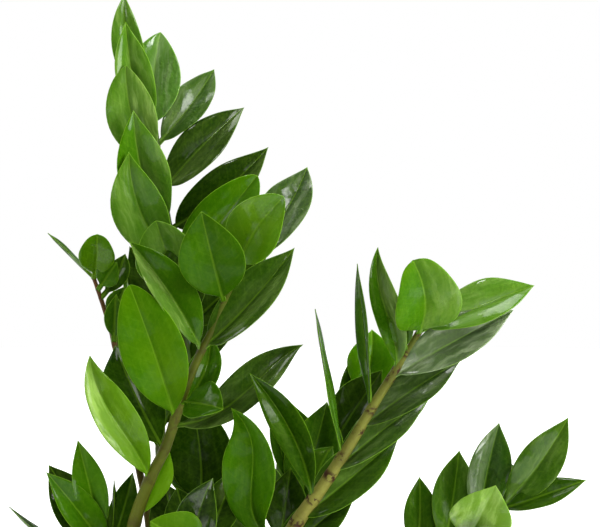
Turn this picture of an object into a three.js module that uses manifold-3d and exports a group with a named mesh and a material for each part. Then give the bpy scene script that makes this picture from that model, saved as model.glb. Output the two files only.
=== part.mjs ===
// A potted zz plant: a plain tapered pot filled with soil, and the plant's fronds standing in it.
// Millimetres, +Z up. The origin is the middle of the pot's flat underside.
// Each frond is one piece: a fleshy stalk with its leaflets grown onto it.

import * as THREE from 'three';
import { mergeVertices } from 'three/addons/utils/BufferGeometryUtils.js';
import Module from 'manifold-3d';

const wasm = await Module();
wasm.setup();

// Pot: outer radii, heights and wall
const POT_FOOT_RADIUS = 70;
const POT_TOP_RADIUS = 94;
const POT_HEIGHT = 170;
const POT_WALL = 3.5;
const POT_FLOOR = 4;
const RIM_HEIGHT = 22;
const RIM_STAND_OUT = 3;
const RIM_CHAMFER = 1.5;
const LIP_CHAMFER = 1;
const FOOT_CHAMFER = 2;
const POT_SIDES = 36;
const DRAIN_RADIUS = 5;
const DRAIN_RING = 42;
const DRAIN_COUNT = 5;
const DRAIN_SIDES = 10;

// Soil: its level at the wall, how far it rises in the middle, and the height and spacing of its lumps
const SOIL_LEVEL = 152;
const SOIL_RISE = 5;
const SOIL_LUMP = 1.6;
const BROAD_LUMPS = { x: 9, y: 11, shift: 1.3 };
const FINE_LUMPS = { x: 14, y: 6, share: 0.6 };
const SOIL_SIDES = 30;
const SOIL_RINGS = 4;
const SOIL_DRAIN_GAP = 0.3;

// Clearance between a piece and the piece that it stands in
const SEAT_GAP = 0.3;

// Points closer than this are one, and slivers left by the joining are closed up to the weld size
const SAME_POINT = 0.0001;
const WELD = 0.03;

// Stalks: sides, ring spacing and how the girth falls away from the swollen foot
const STALK_SIDES = 8;
const STALK_STEP = 34;
const STALK_FEWEST_STEPS = 4;
const STALK_TAPER = 1.25;
const FOOT_SWELL = 0.22;
const FOOT_SWELL_LENGTH = 0.14;

// Leaflets: the short neck that joins each to its stalk, the blade's thickness and its outline
const NECK_LENGTH = 7;
const NECK_HALF_WIDTH = 2.1;
const NECK_THICK = 2.6;
const BLADE_THICK = 1.6;
const BLADE_STATIONS = [0.15, 0.38, 0.62, 0.84];
const BLUNT_STATION = 0.95;
const BLUNT_BELOW = 0.95;
const FOOT_POWER = 0.68;
const TIP_POWER = 1.1;
const FOLD = 22;
const ARCH = 0.05;

// A hook is given as its greatest sideways swing, and the scale makes the curve reach it. The tangent
// step is the share of the midrib taken on either side of a place for the direction there.
const HOOK_SCALE = 10.4;
const TANGENT_STEP = 0.01;

// Two-row rule for the leaflets at the back. Angles are in degrees and lengths are shares of the
// frond's own leaflet length; a draw is the full width of the seeded scatter round a value.
const ROWS = {
  lastAngle: 6,
  footSpread: 14,
  angleDraw: 8,
  liftDraw: 16,
  shortest: 0.82,
  bulge: 0.3,
  bulgeFrom: 0.15,
  bulgeOver: 0.7,
  reachDraw: 0.1,
  twistDraw: 0.5,
  widthShare: 0.4,
  widthDraw: 0.06,
};

// Seeded draws: a product taken over and over by these whole numbers
const DRAW_FACTOR = 16807;
const DRAW_RANGE = 2147483647;
const SEED_FACTOR = 7919;

// Curves along a stalk: the step for its direction, and the halvings that find a height on it
const DIRECTION_STEP = 0.02;
const HALVINGS = 30;

// The fronds are laid out by how they show from in front. The eye is far off and a little above the
// leaves: x and z are read on the upright plane through the pot's axis, and y is the true depth.
const EYE_DISTANCE = 2200;
const EYE_RAISE = 4;
const EYE_AIM_X = 79;
const EYE_AIM_Z = 457;

// Fronds seen in front: stalk points are [x, z, y] from the foot up, girth is the radius at the soil
// and at the top. A leaflet is [height where it joins, tip x, tip z, tip y, width, roll, fold, sweep,
// outline]: roll turns its upper face to the right of the eye, fold raises each half of the blade and
// sweep bows it sideways. In its outline a low tipPower makes a blunt tip, widest over 1 moves the
// widest place towards the tip, hook bends the tip's end sideways, and arch bows it back to front.
const SEEN_FRONDS = [
  {
    name: 'frond_front_left',
    tone: 'fresh',
    girth: [6.4, 2.1],
    stalk: [
      [-58, 108, -28], [-60, 155, -30], [-56, 205, -38], [-46, 260, -46], [-34.5, 293, -50],
      [-21.5, 320, -53], [-10, 355, -57], [2, 385, -60], [13, 407, -61], [22, 428, -62], [35, 457, -62],
    ],
    leaflets: [
      [293, -79, 388, -66, 36, 20, 30, -5.2, { tipPower: 0.95, hook: -3 }],
      [340, -49, 441, -80, 48.5, 0, 14, 1.5, { tipPower: 0.62 }],
      [391, -49.5, 474, -68, 38, 26, 34, 2, { widest: 0.92 }],
      [428, 5, 496, -105, 50, -4, 16, 0, { tipPower: 0.9 }],
      [452, 67, 507, -100, 44, -15, 20, -4, { tipPower: 0.6 }],
      [455, 84.5, 529.5, -34, 40, -20, 28, 7.2],
      [392, 75, 469, -46, 40, -25, 28, 5.5, { widest: 0.86 }],
      [347, 12, 402, -38, 29, -12, 30, 7.5, { widest: 0.85 }],
      [352, 21, 347, -84, 36, -42, 20, 0, { tipPower: 0.8 }],
      [335, 81.5, 396, -40, 34, -22, 30, 9.8, { hook: -4 }],
      [316, -60, 395.5, -12, 45, 5, 15, -2],
      [262, -20, 318, -24, 24, 20, 30],
    ],
  },
  {
    name: 'frond_tall',
    tone: 'full',
    girth: [9, 2.2],
    stalk: [
      [4, 108, 22], [4, 155, 22], [5, 205, 20], [4, 260, 18], [0, 310, 16], [-4, 355, 15],
      [-10, 410, 14], [-15, 460, 12], [-21, 490, 12], [-26, 527, 11], [-32, 572, 10], [-38, 610, 6],
    ],
    leaflets: [
      [575, -52, 657, 0, 26, 0, 25, -6, { tipPower: 0.85 }],
      [555, -51, 638, -14, 33, 12, 30, -6],
      [528, -51, 605, -18, 40, 2, 22, -7.5, { tipPower: 0.7, widest: 1.15 }],
      [482, -45.5, 572, -22, 43, 10, 25, -7.5],
      [460, -49, 541, -28, 43.5, -3, 20, -9],
      [440, -29, 489, -45, 50, 0, 15, 0, { tipPower: 0.6 }],
      [556, -25, 630, 18, 43, -5, 12, -2.5, { tipPower: 0.8, widest: 0.9 }],
      [545, 15, 602.5, 45, 31, -15, 25, 3.5, { widest: 0.9 }],
      [511, 37.5, 574, 28, 36, -15, 25, -1, { widest: 0.82 }],
      [482, 55.5, 544.5, 18, 37, -15, 22, 5.5, { widest: 0.82 }],
      [450, 47, 523, -12, 44, 0, 20, 0.5, { tipPower: 0.6 }],
      [405, 55, 464, 4, 34, -10, 22],
      [412, -10, 481, -28, 42, 0, 22],
      [398, -49, 470, 22, 36, 5, 22],
      [370, 34, 438, 26, 30, -10, 22],
      [318, 12, 372, 8, 36, -10, 22],
      [272, -4, 357, -20, 50, 4, 16, 4],
      [266, -26, 302, 0, 24, 65, 20],
    ],
  },
  {
    name: 'frond_small_left',
    tone: 'fresh',
    girth: [4.5, 1.5],
    stalk: [
      [-28, 108, 8], [-28, 155, 8], [-30, 205, 10], [-35, 260, 12], [-42, 300, 13], [-52, 340, 14],
      [-60.5, 396, 12], [-68, 423, 8], [-76, 447, 4],
    ],
    leaflets: [
      [446, -73, 479, -30, 29, 5, 20, 1, { tipPower: 0.35, widest: 1.25 }],
      [446, -110, 480, 10, 12, 84, 14, 0, { arch: 0 }],
      [437, -58, 458, -10, 20, -5, 20],
      [431, -52, 464.5, 8, 19, -10, 20, 3],
      [411, -52, 440, -5, 18, -10, 20],
      [398, -59, 434, -12, 17, 0, 20],
    ],
  },
  {
    name: 'frond_front_right',
    tone: 'full',
    girth: [7.6, 2.1],
    stalk: [
      [22, 108, -28], [24, 155, -30], [44, 205, -36], [76, 260, -44], [95, 287, -48], [117, 321, -52],
      [136, 353, -55], [157, 386, -58], [167, 403, -60], [173, 412, -61],
    ],
    leaflets: [
      [244, 27, 348, -76, 46, -22, 28, -2.5, { widest: 1.3, hook: 10 }],
      [278, 41, 374.5, -72, 29, 3, 32, 8, { widest: 1.15 }],
      [311, 90.5, 423, -66, 26, 80, 6, 0, { arch: -0.009 }],
      [347, 121.8, 457, -64, 18, -60, 14, 0, { arch: -0.006 }],
      [377, 137.5, 469.5, -70, 27, 12, 36, -2.5, { tipPower: 0.95, widest: 0.86, hook: -3 }],
      [389, 152, 426, -66, 22, -10, 25],
      [404, 163.5, 459.5, -118, 54, 12, 20, 6, { tipPower: 0.35, widest: 0.8 }],
      [406, 255, 440.5, -50, 37, -28, 25, 1.2],
      [371, 239.5, 422, -56, 38, -20, 25, 0.5],
      [331, 199.5, 383.5, -44, 37, -32, 22],
      [297, 176.5, 356, -42, 36, -32, 22],
      [262, 153.5, 326, -40, 43, -30, 22, 3],
      [225, 121.5, 282.5, -40, 38, -30, 22],
      [198, 84, 244, -40, 36, -30, 22],
      [280, 104, 319, -42, 26, -30, 20, -3],
    ],
  },
  {
    name: 'frond_low_left',
    tone: 'full',
    girth: [6, 2],
    stalk: [[-50, 108, 4], [-52, 155, 2], [-56, 200, -8], [-64, 235, -18], [-74, 262, -24]],
    leaflets: [
      [250, -88.5, 324, -42, 27, 8, 22, -0.5],
      [236, -112.5, 299.5, -48, 30, 25, 25],
      [230, -110.5, 305, -12, 37, 10, 20],
      [212, -140.5, 273.5, -30, 24, 84, 12, 0, { arch: -0.05 }],
      [238, -47, 299.5, -22, 22, -10, 20, 2],
      [232, -61, 293.5, -34, 12, 84, 12, 0, { arch: 0 }],
      [222, -55, 282, -2, 34, 0, 20],
      [200, -112, 240, -40, 34, 15, 22],
    ],
  },
  {
    name: 'frond_mid_right',
    tone: 'full',
    girth: [7, 2.2],
    stalk: [
      [32, 108, 6], [33, 155, 6], [46, 205, 5], [72, 262, 2], [98, 310, 0], [118, 345, -2],
      [130, 372, -4],
    ],
    leaflets: [
      [282, 56, 341.5, -12, 27, 20, 22],
      [246, 72, 303, -18, 34, 0, 20],
      [285, 73.5, 351, -8, 34, 8, 22],
      [272, 99.5, 353, -20, 46, 5, 18],
      [325, 126, 398, 8, 31, 0, 20, 6],
      [318, 141, 377, -22, 38, -15, 22],
      [352, 133, 407.5, 2, 38, 0, 20, 4],
      [335, 178, 358, 8, 36, -15, 22],
      [305, 150, 326, 12, 36, -15, 22],
      [278, 118, 288, 18, 36, -15, 22],
    ],
  },
  {
    name: 'frond_far_right',
    tone: 'full',
    girth: [7.5, 2.2],
    stalk: [
      [55, 108, -13], [57, 155, -14], [92, 196, -16], [140, 222, -20], [184, 237, -26], [214, 256, -32],
      [232, 274, -36],
    ],
    leaflets: [
      [231, 169, 296, -20, 27, 5, 20, 1],
      [239, 199, 316, -22, 35, 2, 22],
      [256, 229, 337, -30, 37, 8, 28, -3],
      [266, 236, 308, 0, 34, 0, 20],
      [272, 281, 341, -42, 33, -5, 15, 3.2, { widest: 0.94 }],
      [270, 295, 293.5, -48, 22, -30, 22, 1.8],
      [250, 226.5, 289, -88, 48, 0, 15, 0, { tipPower: 0.85 }],
      [226, 160, 232, -90, 38, -10, 20],
      [240, 232, 238, -80, 38, -10, 20],
      [214, 120, 214, -85, 36, -10, 20],
      [232, 200, 248, 40, 36, -10, 20],
      [216, 140, 248, 34, 34, -10, 20],
    ],
  },
  {
    name: 'frond_low_front',
    tone: 'full',
    girth: [5.5, 1.8],
    stalk: [[-14, 108, -50], [-14, 155, -50], [-6, 200, -54], [4, 236, -56], [10, 256, -58]],
    leaflets: [
      [222, 13.5, 295, -66, 34, -12, 20, -5],
      [236, -34, 262, -96, 44, 20, 15, 0, { tipPower: 0.8 }],
      [236, 31, 301, -32, 30, 0, 20],
      [226, -14, 288, -38, 34, 10, 20],
      [222, 58, 244, -90, 36, -10, 20],
      [210, -50, 214, -90, 34, -20, 20],
      [205, 40, 212, -95, 34, -10, 20],
      [212, -24, 292, -24, 40, 5, 20],
    ],
  },
];

// Fronds at the back, which lean away from the eye. Their leaflets stand in two rows by a rule:
// pairs spread over the upper part of the stalk, with a seeded draw for length, angle and twist.
const BACK_FRONDS = [
  {
    name: 'frond_back_tall',
    tone: 'full',
    girth: [8, 2.2],
    stalk: [
      [-22, 108, 52], [-22, 155, 54], [-24, 230, 62], [-26, 310, 76], [-26, 380, 94], [-24, 425, 108],
    ],
    rows: { seed: 11, count: 11, from: 0.62, length: 72, spread: 20, lift: 24 },
  },
  {
    name: 'frond_back_right',
    tone: 'full',
    girth: [7, 2],
    stalk: [[26, 108, 50], [27, 155, 52], [50, 215, 66], [80, 270, 90], [104, 310, 116]],
    rows: { seed: 23, count: 11, from: 0.42, length: 66, spread: 36, lift: 20 },
  },
  {
    name: 'frond_back_left',
    tone: 'full',
    girth: [7, 2],
    stalk: [[-54, 108, 32], [-56, 155, 34], [-66, 190, 52], [-78, 212, 82], [-90, 220, 112]],
    rows: { seed: 37, count: 10, from: 0.48, length: 56, spread: 42, lift: 14 },
  },
  {
    name: 'frond_back_low',
    tone: 'fresh',
    girth: [5.5, 1.8],
    stalk: [[2, 108, 66], [2, 155, 68], [1, 192, 82], [-2, 216, 110], [-6, 226, 144]],
    rows: { seed: 53, count: 8, from: 0.46, length: 52, spread: 40, lift: 16 },
  },
];

const LOOKS = {
  pot: { color: '#3a3d3b', roughness: 0.62, metalness: 0 },
  soil: { color: '#3b2a1e', roughness: 0.95, metalness: 0 },
  fresh: { color: '#5c9a1e', roughness: 0.3, metalness: 0 },
  full: { color: '#2f6b1c', roughness: 0.28, metalness: 0 },
};

// Solids and meshes
function solidOf(vertices, triangles) {
  const mesh = new wasm.Mesh({
    numProp: 3,
    vertProperties: new Float32Array(vertices),
    triVerts: new Uint32Array(triangles),
  });
  return new wasm.Manifold(mesh);
}

function solidOfGeometry(geometry) {
  const bare = geometry.clone();
  bare.deleteAttribute('normal');
  bare.deleteAttribute('uv');
  const merged = mergeVertices(bare, SAME_POINT);
  return solidOf(merged.attributes.position.array, merged.index.array);
}

function meshOf(name, solid, look) {
  const { vertProperties, triVerts } = solid.asOriginal().simplify(WELD).getMesh();
  const geometry = new THREE.BufferGeometry();
  geometry.setAttribute('position', new THREE.BufferAttribute(new Float32Array(vertProperties), 3));
  geometry.setIndex(new THREE.BufferAttribute(new Uint32Array(triVerts), 1));
  geometry.computeVertexNormals();
  const mesh = new THREE.Mesh(geometry, new THREE.MeshStandardMaterial(LOOKS[look]));
  mesh.name = name;
  return mesh;
}

// A closed skin over rings of points that all have the same count, with flat ends. Where tip is
// given, the last ring runs to that one point instead.
function skinOver(rings, tip) {
  const sides = rings[0].length;
  const vertices = [];
  const triangles = [];
  for (const ring of rings) {
    for (const point of ring) vertices.push(point.x, point.y, point.z);
  }
  for (let row = 0; row + 1 < rings.length; row += 1) {
    for (let side = 0; side < sides; side += 1) {
      const here = row * sides + side;
      const next = row * sides + ((side + 1) % sides);
      triangles.push(here, next, next + sides, here, next + sides, here + sides);
    }
  }
  for (let side = 1; side + 1 < sides; side += 1) triangles.push(0, side + 1, side);
  const last = (rings.length - 1) * sides;
  if (tip) {
    const apex = vertices.length / 3;
    vertices.push(tip.x, tip.y, tip.z);
    for (let side = 0; side < sides; side += 1) {
      triangles.push(last + side, last + ((side + 1) % sides), apex);
    }
  } else {
    for (let side = 1; side + 1 < sides; side += 1) triangles.push(last, last + side, last + side + 1);
  }
  return solidOf(vertices, triangles);
}

function spin(profile, sides) {
  const points = profile.map(([radius, height]) => new THREE.Vector2(radius, height));
  const geometry = new THREE.LatheGeometry(points, sides);
  geometry.rotateX(Math.PI / 2);
  return solidOfGeometry(geometry);
}

// Layout
const eyeRaise = THREE.MathUtils.degToRad(EYE_RAISE);
const EYE = new THREE.Vector3(
  EYE_AIM_X,
  -EYE_DISTANCE * Math.cos(eyeRaise),
  EYE_AIM_Z + EYE_DISTANCE * Math.sin(eyeRaise),
);

// The true place of a point that shows at x, z and lies at depth y
function place([x, z, y]) {
  const along = (y - EYE.y) / -EYE.y;
  return new THREE.Vector3(EYE.x + (x - EYE.x) * along, y, EYE.z + (z - EYE.z) * along);
}

// A smooth curve through the stalk's points, at span 0 to points - 1
function stalkPoint(points, span) {
  const index = Math.min(Math.floor(span), points.length - 2);
  const part = span - index;
  const from = points[index];
  const to = points[index + 1];
  const before = points[index - 1] ?? from.map((value, axis) => 2 * value - to[axis]);
  const after = points[index + 2] ?? to.map((value, axis) => 2 * value - from[axis]);
  return from.map((value, axis) => {
    const leave = (to[axis] - before[axis]) / 2;
    const arrive = (after[axis] - value) / 2;
    const a = 2 * value - 2 * to[axis] + leave + arrive;
    const b = -3 * value + 3 * to[axis] - 2 * leave - arrive;
    return ((a * part + b) * part + leave) * part + value;
  });
}

// The true direction of the stalk at a span
function stalkDirection(points, span) {
  const ahead = place(stalkPoint(points, Math.min(span + DIRECTION_STEP, points.length - 1)));
  const behind = place(stalkPoint(points, Math.max(span - DIRECTION_STEP, 0)));
  return ahead.sub(behind).normalize();
}

// The span at which the stalk shows at a height
function spanAtHeight(points, height) {
  let low = 0;
  let high = points.length - 1;
  for (let step = 0; step < HALVINGS; step += 1) {
    const middle = (low + high) / 2;
    if (stalkPoint(points, middle)[1] < height) low = middle;
    else high = middle;
  }
  return (low + high) / 2;
}

function stalkRadius(girth, share) {
  const [foot, top] = girth;
  const swell = FOOT_SWELL * foot * Math.exp(-((share / FOOT_SWELL_LENGTH) ** 2));
  return top + (foot - top) * (1 - share) ** STALK_TAPER + swell;
}

// A stalk grown by gap all round
function stalkSolid(frond, gap = 0) {
  const points = frond.stalk;
  const spans = points.length - 1;
  const ends = [place(points[0]), place(points[spans])];
  const steps = Math.max(STALK_FEWEST_STEPS, Math.round(ends[0].distanceTo(ends[1]) / STALK_STEP));
  const rings = [];
  for (let step = 0; step <= steps; step += 1) {
    const share = step / steps;
    const span = share * spans;
    const centre = place(stalkPoint(points, span));
    const along = stalkDirection(points, span);
    const right = new THREE.Vector3(0, 1, 0).cross(along).normalize();
    const front = new THREE.Vector3().crossVectors(along, right);
    if (gap && step === 0) centre.addScaledVector(along, -gap);
    const radius = stalkRadius(frond.girth, share) + gap;
    const ring = [];
    for (let side = 0; side < STALK_SIDES; side += 1) {
      const turn = (2 * Math.PI * side) / STALK_SIDES;
      const point = centre.clone().addScaledVector(right, radius * Math.cos(turn));
      ring.push(point.addScaledVector(front, radius * Math.sin(turn)));
    }
    rings.push(ring);
  }
  return skinOver(rings);
}

// A leaflet from a place on the stalk's axis to its tip. facing is the way its upper face looks.
function leafletSolid(foot, tip, facing, wide, fold = FOLD, sweep = 0, outline = {}) {
  const { tipPower = TIP_POWER, widest = 1, hook = 0, arch = ARCH } = outline;
  const reach = foot.distanceTo(tip);
  const axis = tip.clone().sub(foot).normalize();
  const normal = facing.clone().addScaledVector(axis, -facing.dot(axis)).normalize();
  const across = new THREE.Vector3().crossVectors(axis, normal);
  const bend = foot.clone().lerp(tip, 0.5);
  bend.addScaledVector(normal, 2 * arch * reach).addScaledVector(across, 2 * sweep);
  const bow = new THREE.QuadraticBezierCurve3(foot, bend, tip);
  const midribAt = (share) => {
    const swing = hook * HOOK_SCALE * share * (1 - share) * (2 * share - 1);
    return bow.getPoint(share).addScaledVector(across, swing);
  };
  const neck = NECK_LENGTH / reach;
  const lean = THREE.MathUtils.degToRad(fold);
  const ringAt = (share, halfWidth, thick, lift) => {
    const centre = midribAt(share);
    const along = midribAt(share + TANGENT_STEP).sub(midribAt(share - TANGENT_STEP)).normalize();
    const side = across.clone().addScaledVector(along, -across.dot(along)).normalize();
    const up = new THREE.Vector3().crossVectors(side, along);
    const edge = (way) =>
      centre
        .clone()
        .addScaledVector(side, way * halfWidth * Math.cos(lift))
        .addScaledVector(up, halfWidth * Math.sin(lift));
    const ridge = (way) => centre.clone().addScaledVector(up, (way * thick) / 2);
    return [edge(1), ridge(-1), edge(-1), ridge(1)];
  };
  const rings = [ringAt(0, NECK_HALF_WIDTH, NECK_THICK, 0), ringAt(neck, NECK_HALF_WIDTH, NECK_THICK, 0)];
  const stations = tipPower < BLUNT_BELOW ? [...BLADE_STATIONS, BLUNT_STATION] : BLADE_STATIONS;
  for (const station of stations) {
    const power = FOOT_POWER + (tipPower - FOOT_POWER) * station ** 2;
    const halfWidth = (wide / 2) * Math.sin(Math.PI * station ** widest) ** power;
    rings.push(ringAt(neck + (1 - neck) * station, halfWidth, BLADE_THICK, lean));
  }
  return skinOver(rings, tip);
}

// The way a rolled leaflet faces, where roll 0 faces the eye and 90 faces its right
function rolledFacing(foot, tip, roll) {
  const axis = tip.clone().sub(foot).normalize();
  const toEye = new THREE.Vector3(0, -1, 0);
  toEye.addScaledVector(axis, -toEye.dot(axis)).normalize();
  const toRight = new THREE.Vector3().crossVectors(axis, toEye);
  const turn = THREE.MathUtils.degToRad(roll);
  return toEye.multiplyScalar(Math.cos(turn)).addScaledVector(toRight, Math.sin(turn));
}

function seenLeaflets(frond) {
  return frond.leaflets.map(([height, x, z, y, wide, roll, ...form]) => {
    const foot = place(stalkPoint(frond.stalk, spanAtHeight(frond.stalk, height)));
    const tip = place([x, z, y]);
    return leafletSolid(foot, tip, rolledFacing(foot, tip, roll), wide, ...form);
  });
}

// Draws from 0 to 1 that are the same every time
function drawsFrom(seed) {
  let state = seed;
  return () => {
    state = (state * DRAW_FACTOR) % DRAW_RANGE;
    return state / DRAW_RANGE;
  };
}

// Two rows of leaflets by the rule
function ruledLeaflets(frond) {
  const { seed, count, from, length, spread, lift } = frond.rows;
  const draw = drawsFrom(seed * SEED_FACTOR);
  const scatter = (width) => width * (draw() - 0.5);
  const spans = frond.stalk.length - 1;
  const foot = place(frond.stalk[1]);
  const crown = place(frond.stalk[spans]);
  const outward = new THREE.Vector3(crown.x - foot.x, crown.y - foot.y, 0).normalize();
  const solids = [];
  for (let index = 0; index < count; index += 1) {
    const rise = index / (count - 1);
    const span = (from + (1 - from) * rise) * spans;
    const base = place(stalkPoint(frond.stalk, span));
    const along = stalkDirection(frond.stalk, span);
    const face = new THREE.Vector3(0, 0, 1).sub(outward);
    face.addScaledVector(along, -face.dot(along)).normalize();
    const side = new THREE.Vector3().crossVectors(along, face);
    const last = index === count - 1;
    const way = index % 2 ? 1 : -1;
    const opening = last ? ROWS.lastAngle : spread + ROWS.footSpread * (1 - rise) + scatter(ROWS.angleDraw);
    const angle = THREE.MathUtils.degToRad(opening);
    const raise = THREE.MathUtils.degToRad(lift + scatter(ROWS.liftDraw));
    const bulge = ROWS.bulge * Math.sin(Math.PI * (ROWS.bulgeFrom + ROWS.bulgeOver * rise));
    const reach = length * (ROWS.shortest + bulge + scatter(ROWS.reachDraw));
    const heading = along.clone().multiplyScalar(Math.cos(angle));
    heading.addScaledVector(side, way * Math.sin(angle) * Math.cos(raise));
    heading.addScaledVector(face, Math.sin(angle) * Math.sin(raise));
    const tip = base.clone().addScaledVector(heading, reach);
    const facing = face.clone().addScaledVector(side, scatter(ROWS.twistDraw));
    const wide = reach * (ROWS.widthShare + ROWS.widthDraw * draw());
    solids.push(leafletSolid(base, tip, facing, wide));
  }
  return solids;
}

function frondSolid(frond) {
  const leaflets = frond.rows ? ruledLeaflets(frond) : seenLeaflets(frond);
  return leaflets.reduce((whole, leaflet) => whole.add(leaflet), stalkSolid(frond));
}

// Pot
function potRadiusAt(height) {
  return POT_FOOT_RADIUS + ((POT_TOP_RADIUS - POT_FOOT_RADIUS) * height) / POT_HEIGHT;
}

function drainHoles() {
  const holes = [];
  for (let index = 0; index < DRAIN_COUNT; index += 1) {
    const turn = (2 * Math.PI * (index + 0.5)) / DRAIN_COUNT;
    const drill = new THREE.CylinderGeometry(DRAIN_RADIUS, DRAIN_RADIUS, 4 * POT_FLOOR, DRAIN_SIDES);
    drill.rotateX(Math.PI / 2);
    drill.translate(DRAIN_RING * Math.cos(turn), DRAIN_RING * Math.sin(turn), 0);
    holes.push(solidOfGeometry(drill));
  }
  return holes;
}

function potSolid() {
  const rimFoot = POT_HEIGHT - RIM_HEIGHT;
  const rimRadius = POT_TOP_RADIUS + RIM_STAND_OUT;
  const mouthRadius = POT_TOP_RADIUS - POT_WALL;
  const profile = [
    [0, 0],
    [POT_FOOT_RADIUS - FOOT_CHAMFER, 0],
    [POT_FOOT_RADIUS, FOOT_CHAMFER],
    [potRadiusAt(rimFoot), rimFoot],
    [potRadiusAt(rimFoot) + RIM_STAND_OUT, rimFoot + RIM_CHAMFER],
    [rimRadius, POT_HEIGHT - RIM_CHAMFER],
    [rimRadius - RIM_CHAMFER, POT_HEIGHT],
    [mouthRadius + LIP_CHAMFER, POT_HEIGHT],
    [mouthRadius, POT_HEIGHT - LIP_CHAMFER],
    [potRadiusAt(POT_FLOOR) - POT_WALL, POT_FLOOR],
    [0, POT_FLOOR],
  ];
  const body = spin(profile, POT_SIDES);
  return drainHoles().reduce((pot, hole) => pot.subtract(hole), body);
}

// Soil: the pot's inside filled to its level, with a lumpy, slightly raised top
function soilSurface(x, y) {
  const reach = Math.hypot(x, y) / POT_TOP_RADIUS;
  const broad = Math.sin(x / BROAD_LUMPS.x + BROAD_LUMPS.shift) * Math.cos(y / BROAD_LUMPS.y);
  const lumps = broad + FINE_LUMPS.share * Math.sin(y / FINE_LUMPS.y - x / FINE_LUMPS.x);
  return SOIL_LEVEL + SOIL_RISE * (1 - reach ** 2) + SOIL_LUMP * lumps * (1 - reach ** 4);
}

function soilSolid(fronds) {
  const foot = POT_FLOOR + SEAT_GAP;
  const footRadius = potRadiusAt(foot) - POT_WALL - SEAT_GAP;
  const topRadius = potRadiusAt(SOIL_LEVEL) - POT_WALL - SEAT_GAP - SOIL_DRAIN_GAP;
  const ringOf = (radius, heightAt) =>
    Array.from({ length: SOIL_SIDES }, (_, side) => {
      const turn = (2 * Math.PI * side) / SOIL_SIDES;
      const x = radius * Math.cos(turn);
      const y = radius * Math.sin(turn);
      return new THREE.Vector3(x, y, heightAt(x, y));
    });
  const rings = [ringOf(footRadius, () => foot), ringOf(topRadius, soilSurface)];
  for (let ring = SOIL_RINGS - 1; ring > 0; ring -= 1) {
    rings.push(ringOf((topRadius * ring) / SOIL_RINGS, soilSurface));
  }
  const block = skinOver(rings, new THREE.Vector3(0, 0, soilSurface(0, 0)));
  return fronds.reduce((soil, frond) => soil.subtract(stalkSolid(frond, SEAT_GAP)), block);
}

// The whole plant
const fronds = [...SEEN_FRONDS, ...BACK_FRONDS];
const plant = new THREE.Group();
plant.add(meshOf('pot', potSolid(), 'pot'));
plant.add(meshOf('soil', soilSolid(fronds), 'soil'));
for (const frond of fronds) plant.add(meshOf(frond.name, frondSolid(frond), frond.tone));

export default plant;
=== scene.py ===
"""Looks of a potted zz plant: fine leaflets, fleshy stalks, crumbly soil and a plain matte pot."""

import math
import random

import bpy
import numpy as np
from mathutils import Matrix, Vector


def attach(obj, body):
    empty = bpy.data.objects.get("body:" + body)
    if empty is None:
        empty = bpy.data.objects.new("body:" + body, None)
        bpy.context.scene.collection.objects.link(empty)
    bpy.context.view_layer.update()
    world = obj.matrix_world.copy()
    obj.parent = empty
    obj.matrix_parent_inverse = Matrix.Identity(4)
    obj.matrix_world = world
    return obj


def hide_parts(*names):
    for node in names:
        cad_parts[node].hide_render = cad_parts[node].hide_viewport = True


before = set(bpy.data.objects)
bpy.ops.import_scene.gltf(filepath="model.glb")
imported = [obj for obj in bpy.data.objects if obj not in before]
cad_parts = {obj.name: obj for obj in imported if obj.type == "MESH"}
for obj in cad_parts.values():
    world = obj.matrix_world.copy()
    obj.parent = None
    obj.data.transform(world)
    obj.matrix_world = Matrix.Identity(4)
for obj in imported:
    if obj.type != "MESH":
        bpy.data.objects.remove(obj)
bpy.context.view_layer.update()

# The plant's tables are in millimetres, and everything built is in metres
MM = 0.001

# The photograph's eye: far off, looking along +Y and a little down. The aim is an x and a z.
EYE_DISTANCE = 2200
EYE_RAISE = math.radians(4)
EYE_AIM = (79, 457)
SENSOR_WIDTH = 36
SEEN_WIDTH = 450
FARTHEST_SEEN_METRES = 20

# Pot
POT_FOOT_RADIUS = 70
POT_TOP_RADIUS = 94
POT_HEIGHT = 170
POT_WALL = 3.5
POT_FLOOR = 4
RIM_HEIGHT = 22
RIM_STAND_OUT = 3
RIM_SLANT = 0.6
RIM_ROUND = 1.5
RIM_FOOT_ROUND = 0.8
FOOT_ROUND = 2
FLOOR_ROUND = 2
CORNER_STEPS = 5
POT_SIDES = 144
POT_SHARP_EDGE = math.radians(35)
DRAIN_RADIUS = 5
DRAIN_RING = 42
DRAIN_COUNT = 5
DRAIN_SIDES = 32

# Soil
SOIL_LEVEL = 152
SOIL_RISE = 5
SOIL_LUMP = 1.6
SOIL_ROUGH = 0.5
SOIL_GAP = 0.6
BROAD_LUMPS = {"x": 9, "y": 11, "shift": 1.3}
FINE_LUMPS = {"x": 14, "y": 6, "share": 0.6}
SOIL_SIDES = 150
SOIL_RINGS = 56

# Loose grains on the soil, with the least and the greatest radius
CRUMB_COUNT = 1500
CRUMB_RADIUS = (0.7, 2.6)
PERLITE_COUNT = 90
PERLITE_RADIUS = (0.6, 1.6)
GRAIN_SMALL_POWER = 3
GRAIN_FROM_WALL = 1
GRAIN_LIFT = 0.25

# A grain's form as parts of its radius: the least and the spread, and each ring's level and girth
GRAIN_BREADTH = (0.6, 0.4)
GRAIN_HEIGHT = (0.5, 0.4)
GRAIN_BUMP = (0.8, 0.4)
GRAIN_RINGS = ((-0.75, 0.6), (-0.1, 1.0), (0.6, 0.75))
GRAIN_TOP = 0.95
GRAIN_SIDES = 6

# Stalks
STALK_TAPER = 1.25
FOOT_SWELL = 0.22
FOOT_SWELL_LENGTH = 0.14
STALK_SIDES = 20
STALK_STEP = 3.0
JOINT_SWELL = 0.08
JOINT_LENGTH = 4.0
FEW_SCARS = 0.35
DIRECTION_STEP = 0.02
HALVINGS = 30

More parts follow.
